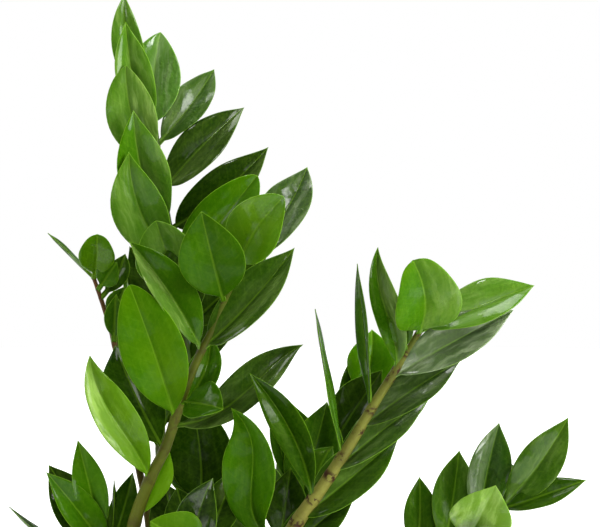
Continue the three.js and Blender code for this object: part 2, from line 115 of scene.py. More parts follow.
# Leaflets: the powers shape the outline's foot and tip, and ACROSS goes from the midrib to the edge
NECK_LENGTH = 7
NECK_HALF_WIDTH = 2.1
NECK_THICK = 2.6
NECK_FADES_BY = 0.12
NECK_UNFOLDS = 0.5
BLADE_THICK = 1.5
TIP_THINS = 6
TIP_THICK_SHARE = 0.35
FOOT_POWER = 0.68
TIP_POWER = 1.1
FOLD = 22
ARCH = 0.05
HOOK_SCALE = 10.4
LINE_STEP = 0.01
BLADE_ROWS = 28
ACROSS = (0, 0.035, 0.09, 0.18, 0.32, 0.48, 0.64, 0.79, 0.9, 0.965, 1)
EDGE_ROUND_POWER = 4
HALF_BULGE = 0.3
GROOVE_DEPTH = 0.7
GROOVE_WIDTH = 1.3
GROOVE_FADES = 0.7
MIDRIB_DEPTH = 0.8
WAVE_HEIGHT = 0.75
WAVE_HALF_WIDTH = 12
WAVE_COUNT = (1.2, 2.6)
# The painted sheen, which stands for reflections of the bright surroundings, changes sides over about this
# many millimetres at the midrib; the leaflets at the back get this painted sheen and this wax
PAINTED_SHEEN_EDGE = 0.5
BACK_PAINTED_SHEEN = (0.2, 0.1)
BACK_WAX = 0.4

# Two-row rule for the leaflets at the back, with angles in degrees
ROWS = {
    "last_angle": 6,
    "foot_spread": 14,
    "angle_draw": 8,
    "lift_draw": 16,
    "shortest": 0.82,
    "bulge": 0.3,
    "bulge_from": 0.15,
    "bulge_over": 0.7,
    "reach_draw": 0.1,
    "twist_draw": 0.5,
    "width_share": 0.4,
    "width_draw": 0.06,
    "age_spread": 0.2,
}
DRAW_FACTOR = 16807
DRAW_RANGE = 2147483647
SEED_FACTOR = 7919


def blade_form(wide, fold=FOLD, sweep=0, tip_power=TIP_POWER, arch=ARCH, widest=1, hook=0,
               age=0.6, light=1.0, wax=0.3, bloom=(0.05, 0.05), to_tip=0):
    """A leaflet's form and look, with its age from 0 (new) to 1 and a brightness factor that is partly its
    own tone and partly painted light and shade.

    The pale sheen on each half, left and right of the midrib seen tip up, is painted: it stands for
    reflections of the bright surroundings, and to_tip is how far it gathers towards the tip.
    """
    return {
        "wide": wide,
        "fold": fold,
        "sweep": sweep,
        "tip_power": tip_power,
        "arch": arch,
        "widest": widest,
        "hook": hook,
        "look": (age, light, wax),
        "bloom": bloom,
        "to_tip": to_tip,
    }


def leaf(joins, x, z, y, wide, roll, *form, **more):
    """A leaflet seen in front: the height where it joins its stalk, its tip's place, and its form."""
    return dict(blade_form(wide, *form, **more), joins=joins, tip=(x, z, y), roll=roll)


class Frond:
    """A frond: its stalk's points are (x, z, y) from the foot up.

    girth is the stalk's radius at its foot and at its top, and tone is its colour there. The leaflets
    are those seen in front, or else the two-row rule makes them from rows and age.
    """

    def __init__(self, name, slot, girth, tone, stalk, leaflets=(), rows=None, age=None, scars=FEW_SCARS):
        self.name = name
        self.slot = slot
        self.girth = girth
        self.tone = tone
        self.stalk = stalk
        self.leaflets = leaflets
        self.rows = rows
        self.age = age
        self.scars = scars


# Stalk colours
LEAF_GREEN = (0.03, 0.08, 0.004)
OLIVE_GREEN = (0.055, 0.1, 0.003)
OLIVE_BROWN = (0.05, 0.08, 0.003)
RED_BROWN = (0.11, 0.045, 0.014)
OLIVE_STRAW = (0.11, 0.13, 0.01)
STRAW = (0.33, 0.305, 0.062)
STRAW_GREEN = (0.05, 0.085, 0.003)
STRAW_OLIVE = (0.12, 0.135, 0.016)

# Fronds seen in front, each leaflet with its painted sheen and a brightness factor that is partly its own
# tone and partly painted light and shade
SEEN_FRONDS = [
    Frond("frond_front_left", "leaf_fresh", girth=(6.4, 2.1), tone=(OLIVE_STRAW, OLIVE_BROWN), stalk=[
        (-58, 108, -28), (-60, 155, -30), (-56, 205, -38), (-46, 260, -46), (-34.5, 293, -50),
        (-21.5, 320, -53), (-10, 355, -57), (2, 385, -60), (13, 407, -61), (22, 428, -62), (35, 457, -62),
    ], leaflets=[
        leaf(293, -79, 388, -66, 36, 20, 30, -5.2, 0.95, hook=-3,
             age=0.0, light=1.4, bloom=(1.0, 0.15), to_tip=1),
        leaf(340, -49, 441, -80, 48.5, 0, 14, 1.5, 0.62, age=0.13, light=1.2, wax=0.1, bloom=(0, 0)),
        leaf(391, -49.5, 474, -68, 38, 26, 34, 2, widest=0.92,
             age=0.3, light=1.05, bloom=(0.9, 0), to_tip=0.7),
        leaf(428, 5, 496, -105, 50, -4, 16, 0, 0.9, age=0.28, light=0.95, wax=0.1, bloom=(0, 0)),
        leaf(452, 67, 507, -100, 44, -15, 20, -4, 0.6,
             age=0.1, light=1.4, wax=0.4, bloom=(0.1, 0.05), to_tip=1),
        leaf(455, 84.5, 529.5, -34, 40, -20, 28, 7.2, age=0.7, light=1.2, wax=1.0, bloom=(0.2, 0.4)),
        leaf(392, 75, 469, -46, 40, -25, 28, 5.5, widest=0.86,
             age=0.68, light=1.1, wax=0.6, bloom=(0.12, 0.32)),
        leaf(347, 12, 402, -38, 29, -12, 30, 7.5, widest=0.85, age=0.35, bloom=(0, 0)),
        leaf(352, 21, 347, -84, 36, -42, 20, 0, 0.8, age=0.35, bloom=(0, 0)),
        leaf(335, 81.5, 396, -40, 34, -22, 30, 9.8, hook=-4, age=0.75, wax=0.6, bloom=(0.15, 0.4)),
        leaf(316, -60, 395.5, -12, 45, 5, 15, -2, age=0.65, light=1.1, wax=0.5, bloom=(0, 0)),
        leaf(262, -20, 318, -24, 24, 20, 30, age=0.0, light=2.2),
    ]),
    Frond("frond_tall", "leaf_full", girth=(9, 2.2), tone=(LEAF_GREEN, LEAF_GREEN), stalk=[
        (4, 108, 22), (4, 155, 22), (5, 205, 20), (4, 260, 18), (0, 310, 16), (-4, 355, 15),
        (-10, 410, 14), (-15, 460, 12), (-21, 490, 12), (-26, 527, 11), (-32, 572, 10), (-38, 610, 6),
    ], leaflets=[
        leaf(575, -52, 657, 0, 26, 0, 25, -6, 0.85, age=0.3, light=1.5, wax=0.6, bloom=(0.4, 0.45)),
        leaf(555, -51, 638, -14, 33, 12, 30, -6, age=0.28, light=1.5, wax=0.45, bloom=(0.35, 0.35)),
        leaf(528, -51, 605, -18, 40, 2, 22, -7.5, 0.7, widest=1.15,
             age=0.28, light=1.25, wax=0.4, bloom=(0.3, 0.85)),
        leaf(482, -45.5, 572, -22, 43, 10, 25, -7.5, age=0.22, light=1.4, wax=0.4, bloom=(0.0, 0.45)),
        leaf(460, -49, 541, -28, 43.5, -3, 20, -9, age=0.28, light=1.4, bloom=(0.4, 0.15)),
        leaf(440, -29, 489, -45, 50, 0, 15, 0, 0.6, age=0.25, light=1.35, bloom=(0.3, 0.3)),
        leaf(556, -25, 630, 18, 43, -5, 12, -2.5, 0.8, widest=0.9,
             age=0.22, light=1.6, wax=0.85, bloom=(0.4, 0.45)),
        leaf(545, 15, 602.5, 45, 31, -15, 25, 3.5, widest=0.9,
             age=0.5, light=0.95, wax=0.8, bloom=(0.4, 0.25)),
        leaf(511, 37.5, 574, 28, 36, -15, 25, -1, widest=0.82,
             age=0.85, light=0.9, wax=0.6, bloom=(0.1, 0.35)),
        leaf(482, 55.5, 544.5, 18, 37, -15, 22, 5.5, widest=0.82,
             age=0.8, light=0.85, wax=0.6, bloom=(0.02, 0.2)),
        leaf(450, 47, 523, -12, 44, 0, 20, 0.5, 0.6, age=0.2, light=1.4, bloom=(0, 0.1)),
        leaf(405, 55, 464, 4, 34, -10, age=0.75),
        leaf(412, -10, 481, -28, 42, 0, age=0.8),
        leaf(398, -49, 470, 22, 36, 5, age=0.8),
        leaf(370, 34, 438, 26, 30, -10, age=0.8),
        leaf(318, 12, 372, 8, 36, -10, age=0.85),
        leaf(272, -4, 357, -20, 50, 4, 16, 4, age=0.72, wax=0.1, bloom=(0, 0)),
        leaf(266, -26, 302, 0, 24, 65, 20),
    ]),
    Frond("frond_small_left", "leaf_fresh", girth=(4.5, 1.5), tone=(OLIVE_BROWN, RED_BROWN), stalk=[
        (-28, 108, 8), (-28, 155, 8), (-30, 205, 10), (-35, 260, 12), (-42, 300, 13), (-52, 340, 14),
        (-60.5, 396, 12), (-68, 423, 8), (-76, 447, 4),
    ], leaflets=[
        leaf(446, -73, 479, -30, 29, 5, 20, 1, 0.35, widest=1.25, age=0.1, light=1.2, bloom=(0, 0)),
        leaf(446, -110, 480, 10, 12, 84, 14, arch=0, age=0.3),
        leaf(437, -58, 458, -10, 20, -5, 20, age=0.3),
        leaf(431, -52, 464.5, 8, 19, -10, 20, 3, age=0.65),
        leaf(411, -52, 440, -5, 18, -10, 20, age=0.35),
        leaf(398, -59, 434, -12, 17, 0, 20, age=0.35),
    ]),
    Frond("frond_front_right", "leaf_full", girth=(7.6, 2.1), tone=(STRAW, STRAW_GREEN), scars=1.0, stalk=[
        (22, 108, -28), (24, 155, -30), (44, 205, -36), (76, 260, -44), (95, 287, -48), (117, 321, -52),
        (136, 353, -55), (157, 386, -58), (167, 403, -60), (173, 412, -61),
    ], leaflets=[
        leaf(244, 27, 348, -76, 46, -22, 28, -2.5, widest=1.3, hook=10,
             age=0.22, light=1.15, wax=0.15, bloom=(0, 0)),
        leaf(278, 41, 374.5, -72, 29, 3, 32, 8, widest=1.15, age=0.55, light=0.85, bloom=(0, 0)),
        leaf(311, 90.5, 423, -66, 26, 80, 6, arch=-0.009, age=0.3),
        leaf(347, 121.8, 457, -64, 18, -60, 14, arch=-0.006, age=0.3, wax=0.8),
        leaf(377, 137.5, 469.5, -70, 27, 12, 36, -2.5, 0.95, widest=0.86, hook=-3,
             age=0.45, bloom=(0.0, 0.6)),
        leaf(389, 152, 426, -66, 22, -10, 25, age=0.4),
        leaf(404, 163.5, 459.5, -117.2, 54, 12, 20, 6, 0.35, widest=0.8,
             age=0.15, light=1.35, bloom=(0, 0.45)),
        leaf(406, 255, 440.5, -50, 37, -28, 25, 1.2, age=0.2, light=1.35, wax=0.6, bloom=(0.5, 0.25)),
        leaf(371, 239.5, 422, -56, 38, -20, 25, 0.5, age=0.75, light=1.35, wax=1.0, bloom=(0.8, 0.95)),
        leaf(331, 199.5, 383.5, -44, 37, -32, age=0.8, light=0.9, wax=0.8, bloom=(0.3, 0.2)),
        leaf(297, 176.5, 356, -42, 36, -32, age=0.72, light=1.3, wax=0.7, bloom=(0.3, 0.25)),
        leaf(262, 153.5, 326, -40, 43, -30, 22, 3, age=0.65, light=1.4, bloom=(0.25, 0.1)),
        leaf(225, 121.5, 282.5, -40, 38, -30, age=0.65),
        leaf(198, 84, 244, -40, 36, -30, age=0.7),
        leaf(280, 104, 319, -36, 26, -30, 20, -3, age=0.35),
    ]),
    Frond("frond_low_left", "leaf_full", girth=(6, 2), tone=(LEAF_GREEN, OLIVE_GREEN), stalk=[
        (-50, 108, 4), (-52, 155, 2), (-56, 200, -8), (-64, 235, -18), (-74, 262, -24),
    ], leaflets=[
        leaf(250, -88.5, 324, -42, 27, 8, 22, -0.5, age=0.22, light=1.35, wax=1.0, bloom=(0, 0.05)),
        leaf(236, -112.5, 299.5, -48, 30, 25, 25, age=0.22, light=1.2, bloom=(0, 0)),
        leaf(230, -110.5, 305, -12, 37, 10, 20, age=0.95),
        leaf(212, -140.5, 273.5, -30, 24, 84, 12, arch=-0.05),
        leaf(238, -47, 299.5, -22, 22, -10, 20, 2),
        leaf(232, -61, 293.5, -34, 12, 84, 12, arch=0, age=0.7),
        leaf(222, -55, 282, -2, 34, 0, 20, age=0.9),
        leaf(200, -112, 240, -40, 34, 15),
    ]),
    Frond("frond_mid_right", "leaf_full", girth=(7, 2.2), tone=(LEAF_GREEN, OLIVE_GREEN), stalk=[
        (32, 108, 6), (33, 155, 6), (46, 205, 5), (72, 262, 2), (98, 310, 0), (118, 345, -2),
        (130, 372, -4),
    ], leaflets=[
        leaf(282, 56, 341.5, -12, 27, 20, age=0.3),
        leaf(246, 72, 303, -18, 34, 0, 20, age=0.85),
        leaf(285, 73.5, 351, -8, 34, 8, age=0.3),
        leaf(272, 99.5, 353, -20, 46, 5, 18, age=0.5, light=1.4),
        leaf(325, 126, 398, 8, 31, 0, 20, 6, age=0.45),
        leaf(318, 141, 377, -22, 38, -15, age=0.8),
        leaf(352, 133, 407.5, 2, 38, 0, 20, 4, age=0.2, light=1.65, bloom=(0, 0)),
        leaf(335, 178, 358, 8, 36, -15, age=0.8),
        leaf(305, 150, 326, 12, 36, -15, age=0.8),
        leaf(278, 118, 288, 18, 36, -15, age=0.8),
    ]),
    Frond("frond_far_right", "leaf_full", girth=(7.5, 2.2), tone=(OLIVE_GREEN, OLIVE_GREEN), stalk=[
        (55, 108, -13), (57, 155, -14), (92, 196, -16), (140, 222, -20), (184, 237, -26), (214, 256, -32),
        (232, 274, -36),
    ], leaflets=[
        leaf(231, 169, 296, -20, 27, 5, 20, 1, age=0.5),
        leaf(239, 199, 316, -22, 35, 2, age=0.45, light=1.25, bloom=(0.15, 0.2)),
        leaf(256, 229, 337, -30, 37, 8, 28, -3, age=0.55, wax=1.0, bloom=(0.4, 0.1)),
        leaf(266, 236, 308, 0, 34, 0, 20, age=0.75),
        leaf(272, 281, 341, -42, 33, -5, 15, 3.2, widest=0.94, age=0.5, wax=0.5, bloom=(0.3, 0.25)),
        leaf(270, 295, 293.5, -48, 22, -30, 22, 1.8),
        leaf(250, 226.5, 289, -88, 48, 0, 15, 0, 0.85, age=0.0, light=1.6, wax=0.45, bloom=(1.0, 0.9)),
        leaf(226, 160, 232, -90, 38, -10, 20, age=0.5),
        leaf(240, 232, 238, -80, 38, -10, 20),
        leaf(214, 120, 214, -85, 36, -10, 20, age=0.7),
        leaf(232, 200, 248, 40, 36, -10, 20, age=0.8),
        leaf(216, 140, 248, 34, 34, -10, 20, age=0.8),
    ]),
    Frond("frond_low_front", "leaf_full", girth=(5.5, 1.8), tone=(OLIVE_GREEN, LEAF_GREEN), stalk=[
        (-14, 108, -50), (-14, 155, -50), (-6, 200, -54), (4, 236, -56), (10, 256, -58),
    ], leaflets=[
        leaf(222, 13.5, 295, -66, 34, -12, 20, -5, age=0.9, wax=1.0),
        leaf(236, -34, 262, -96, 44, 20, 15, 0, 0.8, age=0.1),
        leaf(236, 31, 301, -32, 30, 0, 20, age=0.8),
        leaf(226, -14, 288, -38, 34, 10, 20, age=0.85),
        leaf(222, 58, 244, -90, 36, -10, 20),
        leaf(210, -50, 214, -90, 34, -20, 20, age=0.5),
        leaf(205, 40, 212, -95, 34, -10, 20),
        leaf(212, -24, 292, -24, 40, 5, 20, age=0.9),
    ]),
]

# Fronds at the back, which lean away from the eye
BACK_FRONDS = [
    Frond("frond_back_tall", "leaf_full", girth=(8, 2.2), tone=(OLIVE_GREEN, LEAF_GREEN), stalk=[
        (-22, 108, 52), (-22, 155, 54), (-24, 230, 62), (-26, 310, 76), (-26, 380, 94), (-24, 425, 108),
    ], age=0.75, rows={"seed": 11, "count": 11, "from": 0.62, "length": 72, "spread": 20, "lift": 24}),
    Frond("frond_back_right", "leaf_full", girth=(7, 2), tone=(STRAW_OLIVE, OLIVE_GREEN), stalk=[
        (26, 108, 50), (27, 155, 52), (50, 215, 66), (80, 270, 90), (104, 310, 116),
    ], age=0.7, rows={"seed": 23, "count": 11, "from": 0.42, "length": 66, "spread": 36, "lift": 20}),
    Frond("frond_back_left", "leaf_full", girth=(7, 2), tone=(OLIVE_GREEN, LEAF_GREEN), stalk=[
        (-54, 108, 32), (-56, 155, 34), (-66, 190, 52), (-78, 212, 82), (-90, 220, 112),
    ], age=0.65, rows={"seed": 37, "count": 10, "from": 0.48, "length": 56, "spread": 42, "lift": 14}),
    Frond("frond_back_low", "leaf_fresh", girth=(5.5, 1.8), tone=(OLIVE_GREEN, LEAF_GREEN), stalk=[
        (2, 108, 66), (2, 155, 68), (1, 192, 82), (-2, 216, 110), (-6, 226, 144),
    ], age=0.2, rows={"seed": 53, "count": 8, "from": 0.46, "length": 52, "spread": 40, "lift": 16}),
]


# Layout, in millimetres
EYE = Vector((
    EYE_AIM[0],
    -EYE_DISTANCE * math.cos(EYE_RAISE),
    EYE_AIM[1] + EYE_DISTANCE * math.sin(EYE_RAISE),
))
AWAY_FROM_EYE = Vector((0, 1, 0))
UPWARD = Vector((0, 0, 1))


def place(seen):
    """The true place of a point that shows at x, z and lies at depth y."""
    x, z, y = seen
    along = (y - EYE.y) / -EYE.y
    return Vector((EYE.x + (x - EYE.x) * along, y, EYE.z + (z - EYE.z) * along))


def stalk_point(points, span):
    """A smooth curve through the stalk's points, at span 0 to points - 1."""
    index = min(int(span), len(points) - 2)
    part = span - index
    start = np.array(points[index], float)
    end = np.array(points[index + 1], float)
    before = np.array(points[index - 1], float) if index > 0 else 2 * start - end
    after = np.array(points[index + 2], float) if index + 2 < len(points) else 2 * end - start
    leave = (end - before) / 2
    arrive = (after - start) / 2
    cubic = 2 * start - 2 * end + leave + arrive
    square = 3 * end - 3 * start - 2 * leave - arrive
    return ((cubic * part + square) * part + leave) * part + start


def stalk_direction(points, span):
    ahead = place(stalk_point(points, min(span + DIRECTION_STEP, len(points) - 1)))
    behind = place(stalk_point(points, max(span - DIRECTION_STEP, 0)))
    return (ahead - behind).normalized()


def span_at_height(points, height):
    """The span at which the stalk shows at a height."""
    low = 0
    high = len(points) - 1
    for _ in range(HALVINGS):
        middle = (low + high) / 2
        if stalk_point(points, middle)[1] < height:
            low = middle
        else:
            high = middle
    return (low + high) / 2


def stalk_radius(girth, share):
    foot, top = girth
    swell = FOOT_SWELL * foot * math.exp(-((share / FOOT_SWELL_LENGTH) ** 2))
    return top + (foot - top) * (1 - share) ** STALK_TAPER + swell


def square_to(direction, axis):
    """The part of a direction that is square to an axis, as a unit vector."""
    return (direction - axis * direction.dot(axis)).normalized()


def rolled_facing(foot, tip, roll):
    """The way a rolled leaflet faces, where roll 0 faces the eye and 90 faces its right."""
    axis = (tip - foot).normalized()
    to_eye = square_to(-AWAY_FROM_EYE, axis)
    to_right = axis.cross(to_eye)
    turn = math.radians(roll)
    return to_eye * math.cos(turn) + to_right * math.sin(turn)


def draws_from(seed):
    """Draws from 0 to 1 that are the same every time."""
    state = seed
    while True:
        state = (state * DRAW_FACTOR) % DRAW_RANGE
        yield state / DRAW_RANGE


def seen_blades(frond):
    blades = []
    for row in frond.leaflets:
        span = span_at_height(frond.stalk, row["joins"])
        foot = place(stalk_point(frond.stalk, span))
        tip = place(row["tip"])
        facing = rolled_facing(foot, tip, row["roll"])
        blades.append(dict(row, span=span, foot=foot, tip=tip, facing=facing))
    return blades


def ruled_blades(frond):
    """Leaflets in two rows, from the frond's own numbers and seeded draws."""
    rows = frond.rows
    draws = draws_from(rows["seed"] * SEED_FACTOR)

    def scatter(width):
        return width * (next(draws) - 0.5)

    points = frond.stalk
    spans = len(points) - 1
    outward = place(points[spans]) - place(points[1])
    outward.z = 0
    outward.normalize()
    blades = []
    for index in range(rows["count"]):
        rise = index / (rows["count"] - 1)
        span = (rows["from"] + (1 - rows["from"]) * rise) * spans
        foot = place(stalk_point(points, span))
        along = stalk_direction(points, span)
        face = square_to(UPWARD - outward, along)
        side = along.cross(face)
        last = index == rows["count"] - 1
        way = 1 if index % 2 else -1
        opening = ROWS["last_angle"]
        if not last:
            opening = rows["spread"] + ROWS["foot_spread"] * (1 - rise) + scatter(ROWS["angle_draw"])
        angle = math.radians(opening)
        lift = math.radians(rows["lift"] + scatter(ROWS["lift_draw"]))
        bulge = ROWS["bulge"] * math.sin(math.pi * (ROWS["bulge_from"] + ROWS["bulge_over"] * rise))
        reach = rows["length"] * (ROWS["shortest"] + bulge + scatter(ROWS["reach_draw"]))
        heading = along * math.cos(angle)
        heading += side * (way * math.sin(angle) * math.cos(lift))
        heading += face * (math.sin(angle) * math.sin(lift))
        facing = face + side * scatter(ROWS["twist_draw"])
        wide = reach * (ROWS["width_share"] + ROWS["width_draw"] * next(draws))
        age = frond.age + ROWS["age_spread"] * (rise - 0.5)
        form = blade_form(wide, age=age, wax=BACK_WAX, bloom=BACK_PAINTED_SHEEN)
        blades.append(dict(form, span=span, foot=foot, tip=foot + heading * reach, facing=facing))
    return blades


# Meshes
def turns(count):
    """Angles all round, from 0."""
    return [2 * math.pi * side / count for side in range(count)]


def wall_faces(ring_count, sides, base):
    """Faces between rings of the same number of points, the first of which is at base."""
    faces = []
    for row in range(ring_count - 1):
        for side in range(sides):
            here = base + row * sides + side
            beside = base + row * sides + (side + 1) % sides
            faces.append((here, beside, beside + sides, here + sides))
    return faces


def closed_faces(ring_count, sides, base):
    """Faces over rings of points, with one face under the first and a fan to a tip after the last."""
    faces = wall_faces(ring_count, sides, base)
    faces.append(tuple(base + side for side in reversed(range(sides))))
    last = base + (ring_count - 1) * sides
    apex = base + ring_count * sides
    for side in range(sides):
        faces.append((last + side, last + (side + 1) % sides, apex))
    return faces


class PieceMesh:
    """Collects points, faces and per-point values of one piece, in millimetres."""

    def __init__(self, channels=()):
        self.points = []
        self.faces = []
        self.values = {channel: [] for channel in channels}
        self.count = 0

    def add(self, points, faces, **values):
        self.points.append(points)
        self.faces.extend(faces)
        self.count += len(points)
        for channel, rows in values.items():
            self.values[channel].append(rows)

    def build(self, name, material, node):
        mesh = bpy.data.meshes.new(name)
        points = np.concatenate(self.points) * MM
        mesh.from_pydata(points.tolist(), [], self.faces)
        for channel, rows in self.values.items():
            flat = np.concatenate(rows).astype(np.float32)
            kind, field = ("FLOAT_VECTOR", "vector") if flat.ndim == 2 else ("FLOAT", "value")
            attribute = mesh.attributes.new(channel, kind, "POINT")
            attribute.data.foreach_set(field, flat.ravel())
        mesh.materials.append(material)
        mesh.shade_smooth()
        show_piece(bpy.data.objects.new(name, mesh), node)


def show_piece(piece, node):
    """Links a piece to the scene, in place of its CAD node."""
    bpy.context.scene.collection.objects.link(piece)
    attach(piece, "root")
    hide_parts(node)


def blade_shares(reach):
    """Places along the midrib from the stalk's axis to just short of the tip, closer at both ends."""
    neck = NECK_LENGTH / reach
    half_turn = np.linspace(0, math.pi, BLADE_ROWS + 1)[:-1]
    blade = neck + (1 - neck) * (1 - np.cos(half_turn)) / 2
    return np.concatenate([[0, neck * 0.5], blade]), neck


def blade_half_width(blade, on_blade):
    """Half the blade's width at places from 0 to 1 along it."""
    power = FOOT_POWER + (blade["tip_power"] - FOOT_POWER) * on_blade ** 2
    return blade["wide"] / 2 * np.sin(np.pi * on_blade ** blade["widest"]) ** power


def blade_section():
    """Places across a blade, from -1 to 1 over its top and back along its underside.

    With each goes 0 for the top, 1 for the underside or 0.5 for the edge.
    """
    half_row = np.array(ACROSS)
    top = np.concatenate([-half_row[::-1], half_row[1:]])
    bottom = top[-2:0:-1]
    under = np.concatenate([np.zeros(len(top)), np.ones(len(bottom))])
    under[0] = 0.5
    under[len(top) - 1] = 0.5
    return np.concatenate([top, bottom]), under


SECTION, SECTION_UNDER = blade_section()


def unit_rows(rows):
    return rows / np.linalg.norm(rows, axis=1, keepdims=True)


def blade_axes(blade, foot, tip, reach, shares):
    """The midrib's points at shares of its length, with the way across the blade and up from it."""
    axis = (tip - foot) / reach
    facing = np.array(blade["facing"])
    normal = facing - axis * facing.dot(axis)
    normal /= np.linalg.norm(normal)
    across = np.cross(axis, normal)
    bend = (foot + tip) / 2 + normal * 2 * blade["arch"] * reach + across * 2 * blade["sweep"]

    def midrib(share):
        """A bow whose tip may hook sideways."""
        hook = blade["hook"] * HOOK_SCALE * share * (1 - share) * (2 * share - 1)
        bow = foot * (1 - share) ** 2 + bend * 2 * share * (1 - share) + tip * share ** 2
        return bow + across * hook

    share = shares[:, None]
    along = unit_rows(midrib(share + LINE_STEP) - midrib(share - LINE_STEP))
    side = unit_rows(across - along * (along @ across)[:, None])
    return midrib(share), side, np.cross(side, along)


def blade_heights(half, fold, on_blade, near_neck, draw):
    """How far the blade's skin stands up from the midrib's line: fold, waves, thickness and groove."""
    out = np.abs(SECTION)
    leafy = 1 - near_neck
    thick = BLADE_THICK + (NECK_THICK - BLADE_THICK) * near_neck
    thick = thick * np.clip((1 - on_blade) * TIP_THINS, TIP_THICK_SHARE, 1)
    bulge = 1 + HALF_BULGE - HALF_BULGE * out ** 2
    rise = half[:, None] * np.sin(fold)[:, None] * out * bulge
    waves = WAVE_COUNT[0] + (WAVE_COUNT[1] - WAVE_COUNT[0]) * draw()
    phases = np.where(SECTION > 0, 2 * math.pi * draw(), 2 * math.pi * draw())
    ripple = np.sin(2 * math.pi * waves * on_blade[:, None] + phases[None, :])
    wave = WAVE_HEIGHT * leafy * np.clip(half / WAVE_HALF_WIDTH, 0, 1)
    groove = np.exp(-((half[:, None] * SECTION[None, :] / GROOVE_WIDTH) ** 2))
    groove = groove * leafy[:, None] * (1 - GROOVE_FADES * on_blade[:, None])
    body = thick[:, None] / 2 * np.sqrt(np.clip(1 - out ** EDGE_ROUND_POWER, 0, 1))
    upper = body - GROOVE_DEPTH * groove * (thick[:, None] / BLADE_THICK)
    lower = -body - MIDRIB_DEPTH * groove
    body = np.where(SECTION_UNDER == 1, lower, upper) * (SECTION_UNDER != 0.5)
    return rise + wave[:, None] * ripple * out ** 2 + body


def add_blade(piece, blade, draw):
    """Adds one leaflet: a thick folded blade with a grooved midrib, on a short round neck."""
    foot = np.array(blade["foot"])
    tip = np.array(blade["tip"])
    reach = float(np.linalg.norm(tip - foot))
    shares, neck = blade_shares(reach)
    centre, side, up = blade_axes(blade, foot, tip, reach, shares)
    on_blade = np.clip((shares - neck) / (1 - neck), 0, 1)
    near_neck = np.clip(1 - on_blade / NECK_FADES_BY, 0, 1)
    half = blade_half_width(blade, on_blade)
    half = np.sqrt(half ** 2 + (NECK_HALF_WIDTH * near_neck) ** 2)
    fold = math.radians(blade["fold"]) * (1 - NECK_UNFOLDS * near_neck)
    wide_now = half[:, None] * SECTION[None, :]
    height = blade_heights(half, fold, on_blade, near_neck, draw)
    points = centre[:, None, :] + side[:, None, :] * (wide_now * np.cos(fold)[:, None])[:, :, None]
    points = points + up[:, None, :] * height[:, :, None]

    rings, sides = wide_now.shape
    count = rings * sides + 1
    edge = half[:, None] * (1 - np.abs(SECTION))[None, :]
    lengthwise = np.repeat((shares * reach)[:, None], sides, axis=1)
    form = np.stack([wide_now, lengthwise, edge], axis=2).reshape(-1, 3)
    # Pale sheen painted on each half of the blade, gathered towards the tip: it stands for reflections of
    # the bright surroundings
    left, right = blade["bloom"]
    on_right = 1 / (1 + np.exp(-wide_now / PAINTED_SHEEN_EDGE))
    gathered = 1 + blade["to_tip"] * (2 * on_blade - 1)
    bloom = ((left + (right - left) * on_right) * gathered[:, None]).ravel()
    piece.add(
        np.vstack([points.reshape(-1, 3), tip[None, :]]),
        closed_faces(rings, sides, piece.count),
        leaf_form=np.vstack([form, [[0, reach, 0]]]),
        leaf_look=np.tile(blade["look"], (count, 1)),
        leaf_under=np.append(np.tile(SECTION_UNDER, rings), 0.5),
        leaf_seed=np.full(count, draw()),
        leaf_bloom=np.append(bloom, (left + right) / 2),
    )


def add_stalk(piece, frond, joints):
    """Adds the stalk, swollen at its foot and a little at each leaflet's joint."""
    points = frond.stalk
    spans = len(points) - 1
    length = (place(points[spans]) - place(points[0])).length
    steps = round(length / STALK_STEP)
    joint_places = [joint / spans * length for joint in joints]
    rings = []
    forms = []
    for step in range(steps + 1):
        share = step / steps
        centre = place(stalk_point(points, share * spans))
        along = stalk_direction(points, share * spans)
        right = AWAY_FROM_EYE.cross(along).normalized()
        front = along.cross(right)
        here = share * length
        nearest = min(abs(here - joint) for joint in joint_places)
        radius = stalk_radius(frond.girth, share)
        radius *= 1 + JOINT_SWELL * math.exp(-((nearest / JOINT_LENGTH) ** 2))
        for turn in turns(STALK_SIDES):
            rings.append(centre + right * (radius * math.cos(turn)) + front * (radius * math.sin(turn)))
            forms.append((here, share, nearest))
    rings.append(place(points[spans]) + stalk_direction(points, spans) * frond.girth[1])
    forms.append((length, 1, 0))
    low_tone, high_tone = (np.array(tone) for tone in frond.tone)
    piece.add(
        np.array([tuple(point) for point in rings]),
        closed_faces(steps + 1, STALK_SIDES, piece.count),
        stalk_form=np.array(forms),
        stalk_tone=np.array([low_tone + (high_tone - low_tone) * share for _, share, _ in forms]),
        stalk_scars=np.full(len(forms), frond.scars),
    )


def build_frond(frond, leaf_material, stalk_material):
    blades = ruled_blades(frond) if frond.rows else seen_blades(frond)
    stalk = PieceMesh(("stalk_form", "stalk_tone", "stalk_scars"))
    add_stalk(stalk, frond, [blade["span"] for blade in blades])
    stalk.build(frond.name + "_stalk", stalk_material, frond.name)
    chance = random.Random(frond.name)
    leaflets = PieceMesh(("leaf_form", "leaf_look", "leaf_under", "leaf_seed", "leaf_bloom"))
    for blade in blades:
        add_blade(leaflets, blade, chance.random)
    leaflets.build(frond.name + "_leaflets", leaf_material, frond.name)


# Pot and soil
def pot_radius_at(height):
    return POT_FOOT_RADIUS + (POT_TOP_RADIUS - POT_FOOT_RADIUS) * height / POT_HEIGHT


def corner_arc(corner, start, end, radius):
    """Points round a profile's corner, from the side of start to the side of end."""
    corner = Vector(corner)
    into = (corner - Vector(start)).normalized()
    out = (Vector(end) - corner).normalized()
    first = corner - into * radius
    last = corner + out * radius
    arc = []
    for step in range(CORNER_STEPS + 1):
        part = step / CORNER_STEPS
        arc.append(tuple(first * (1 - part) ** 2 + corner * 2 * part * (1 - part) + last * part ** 2))
    return arc


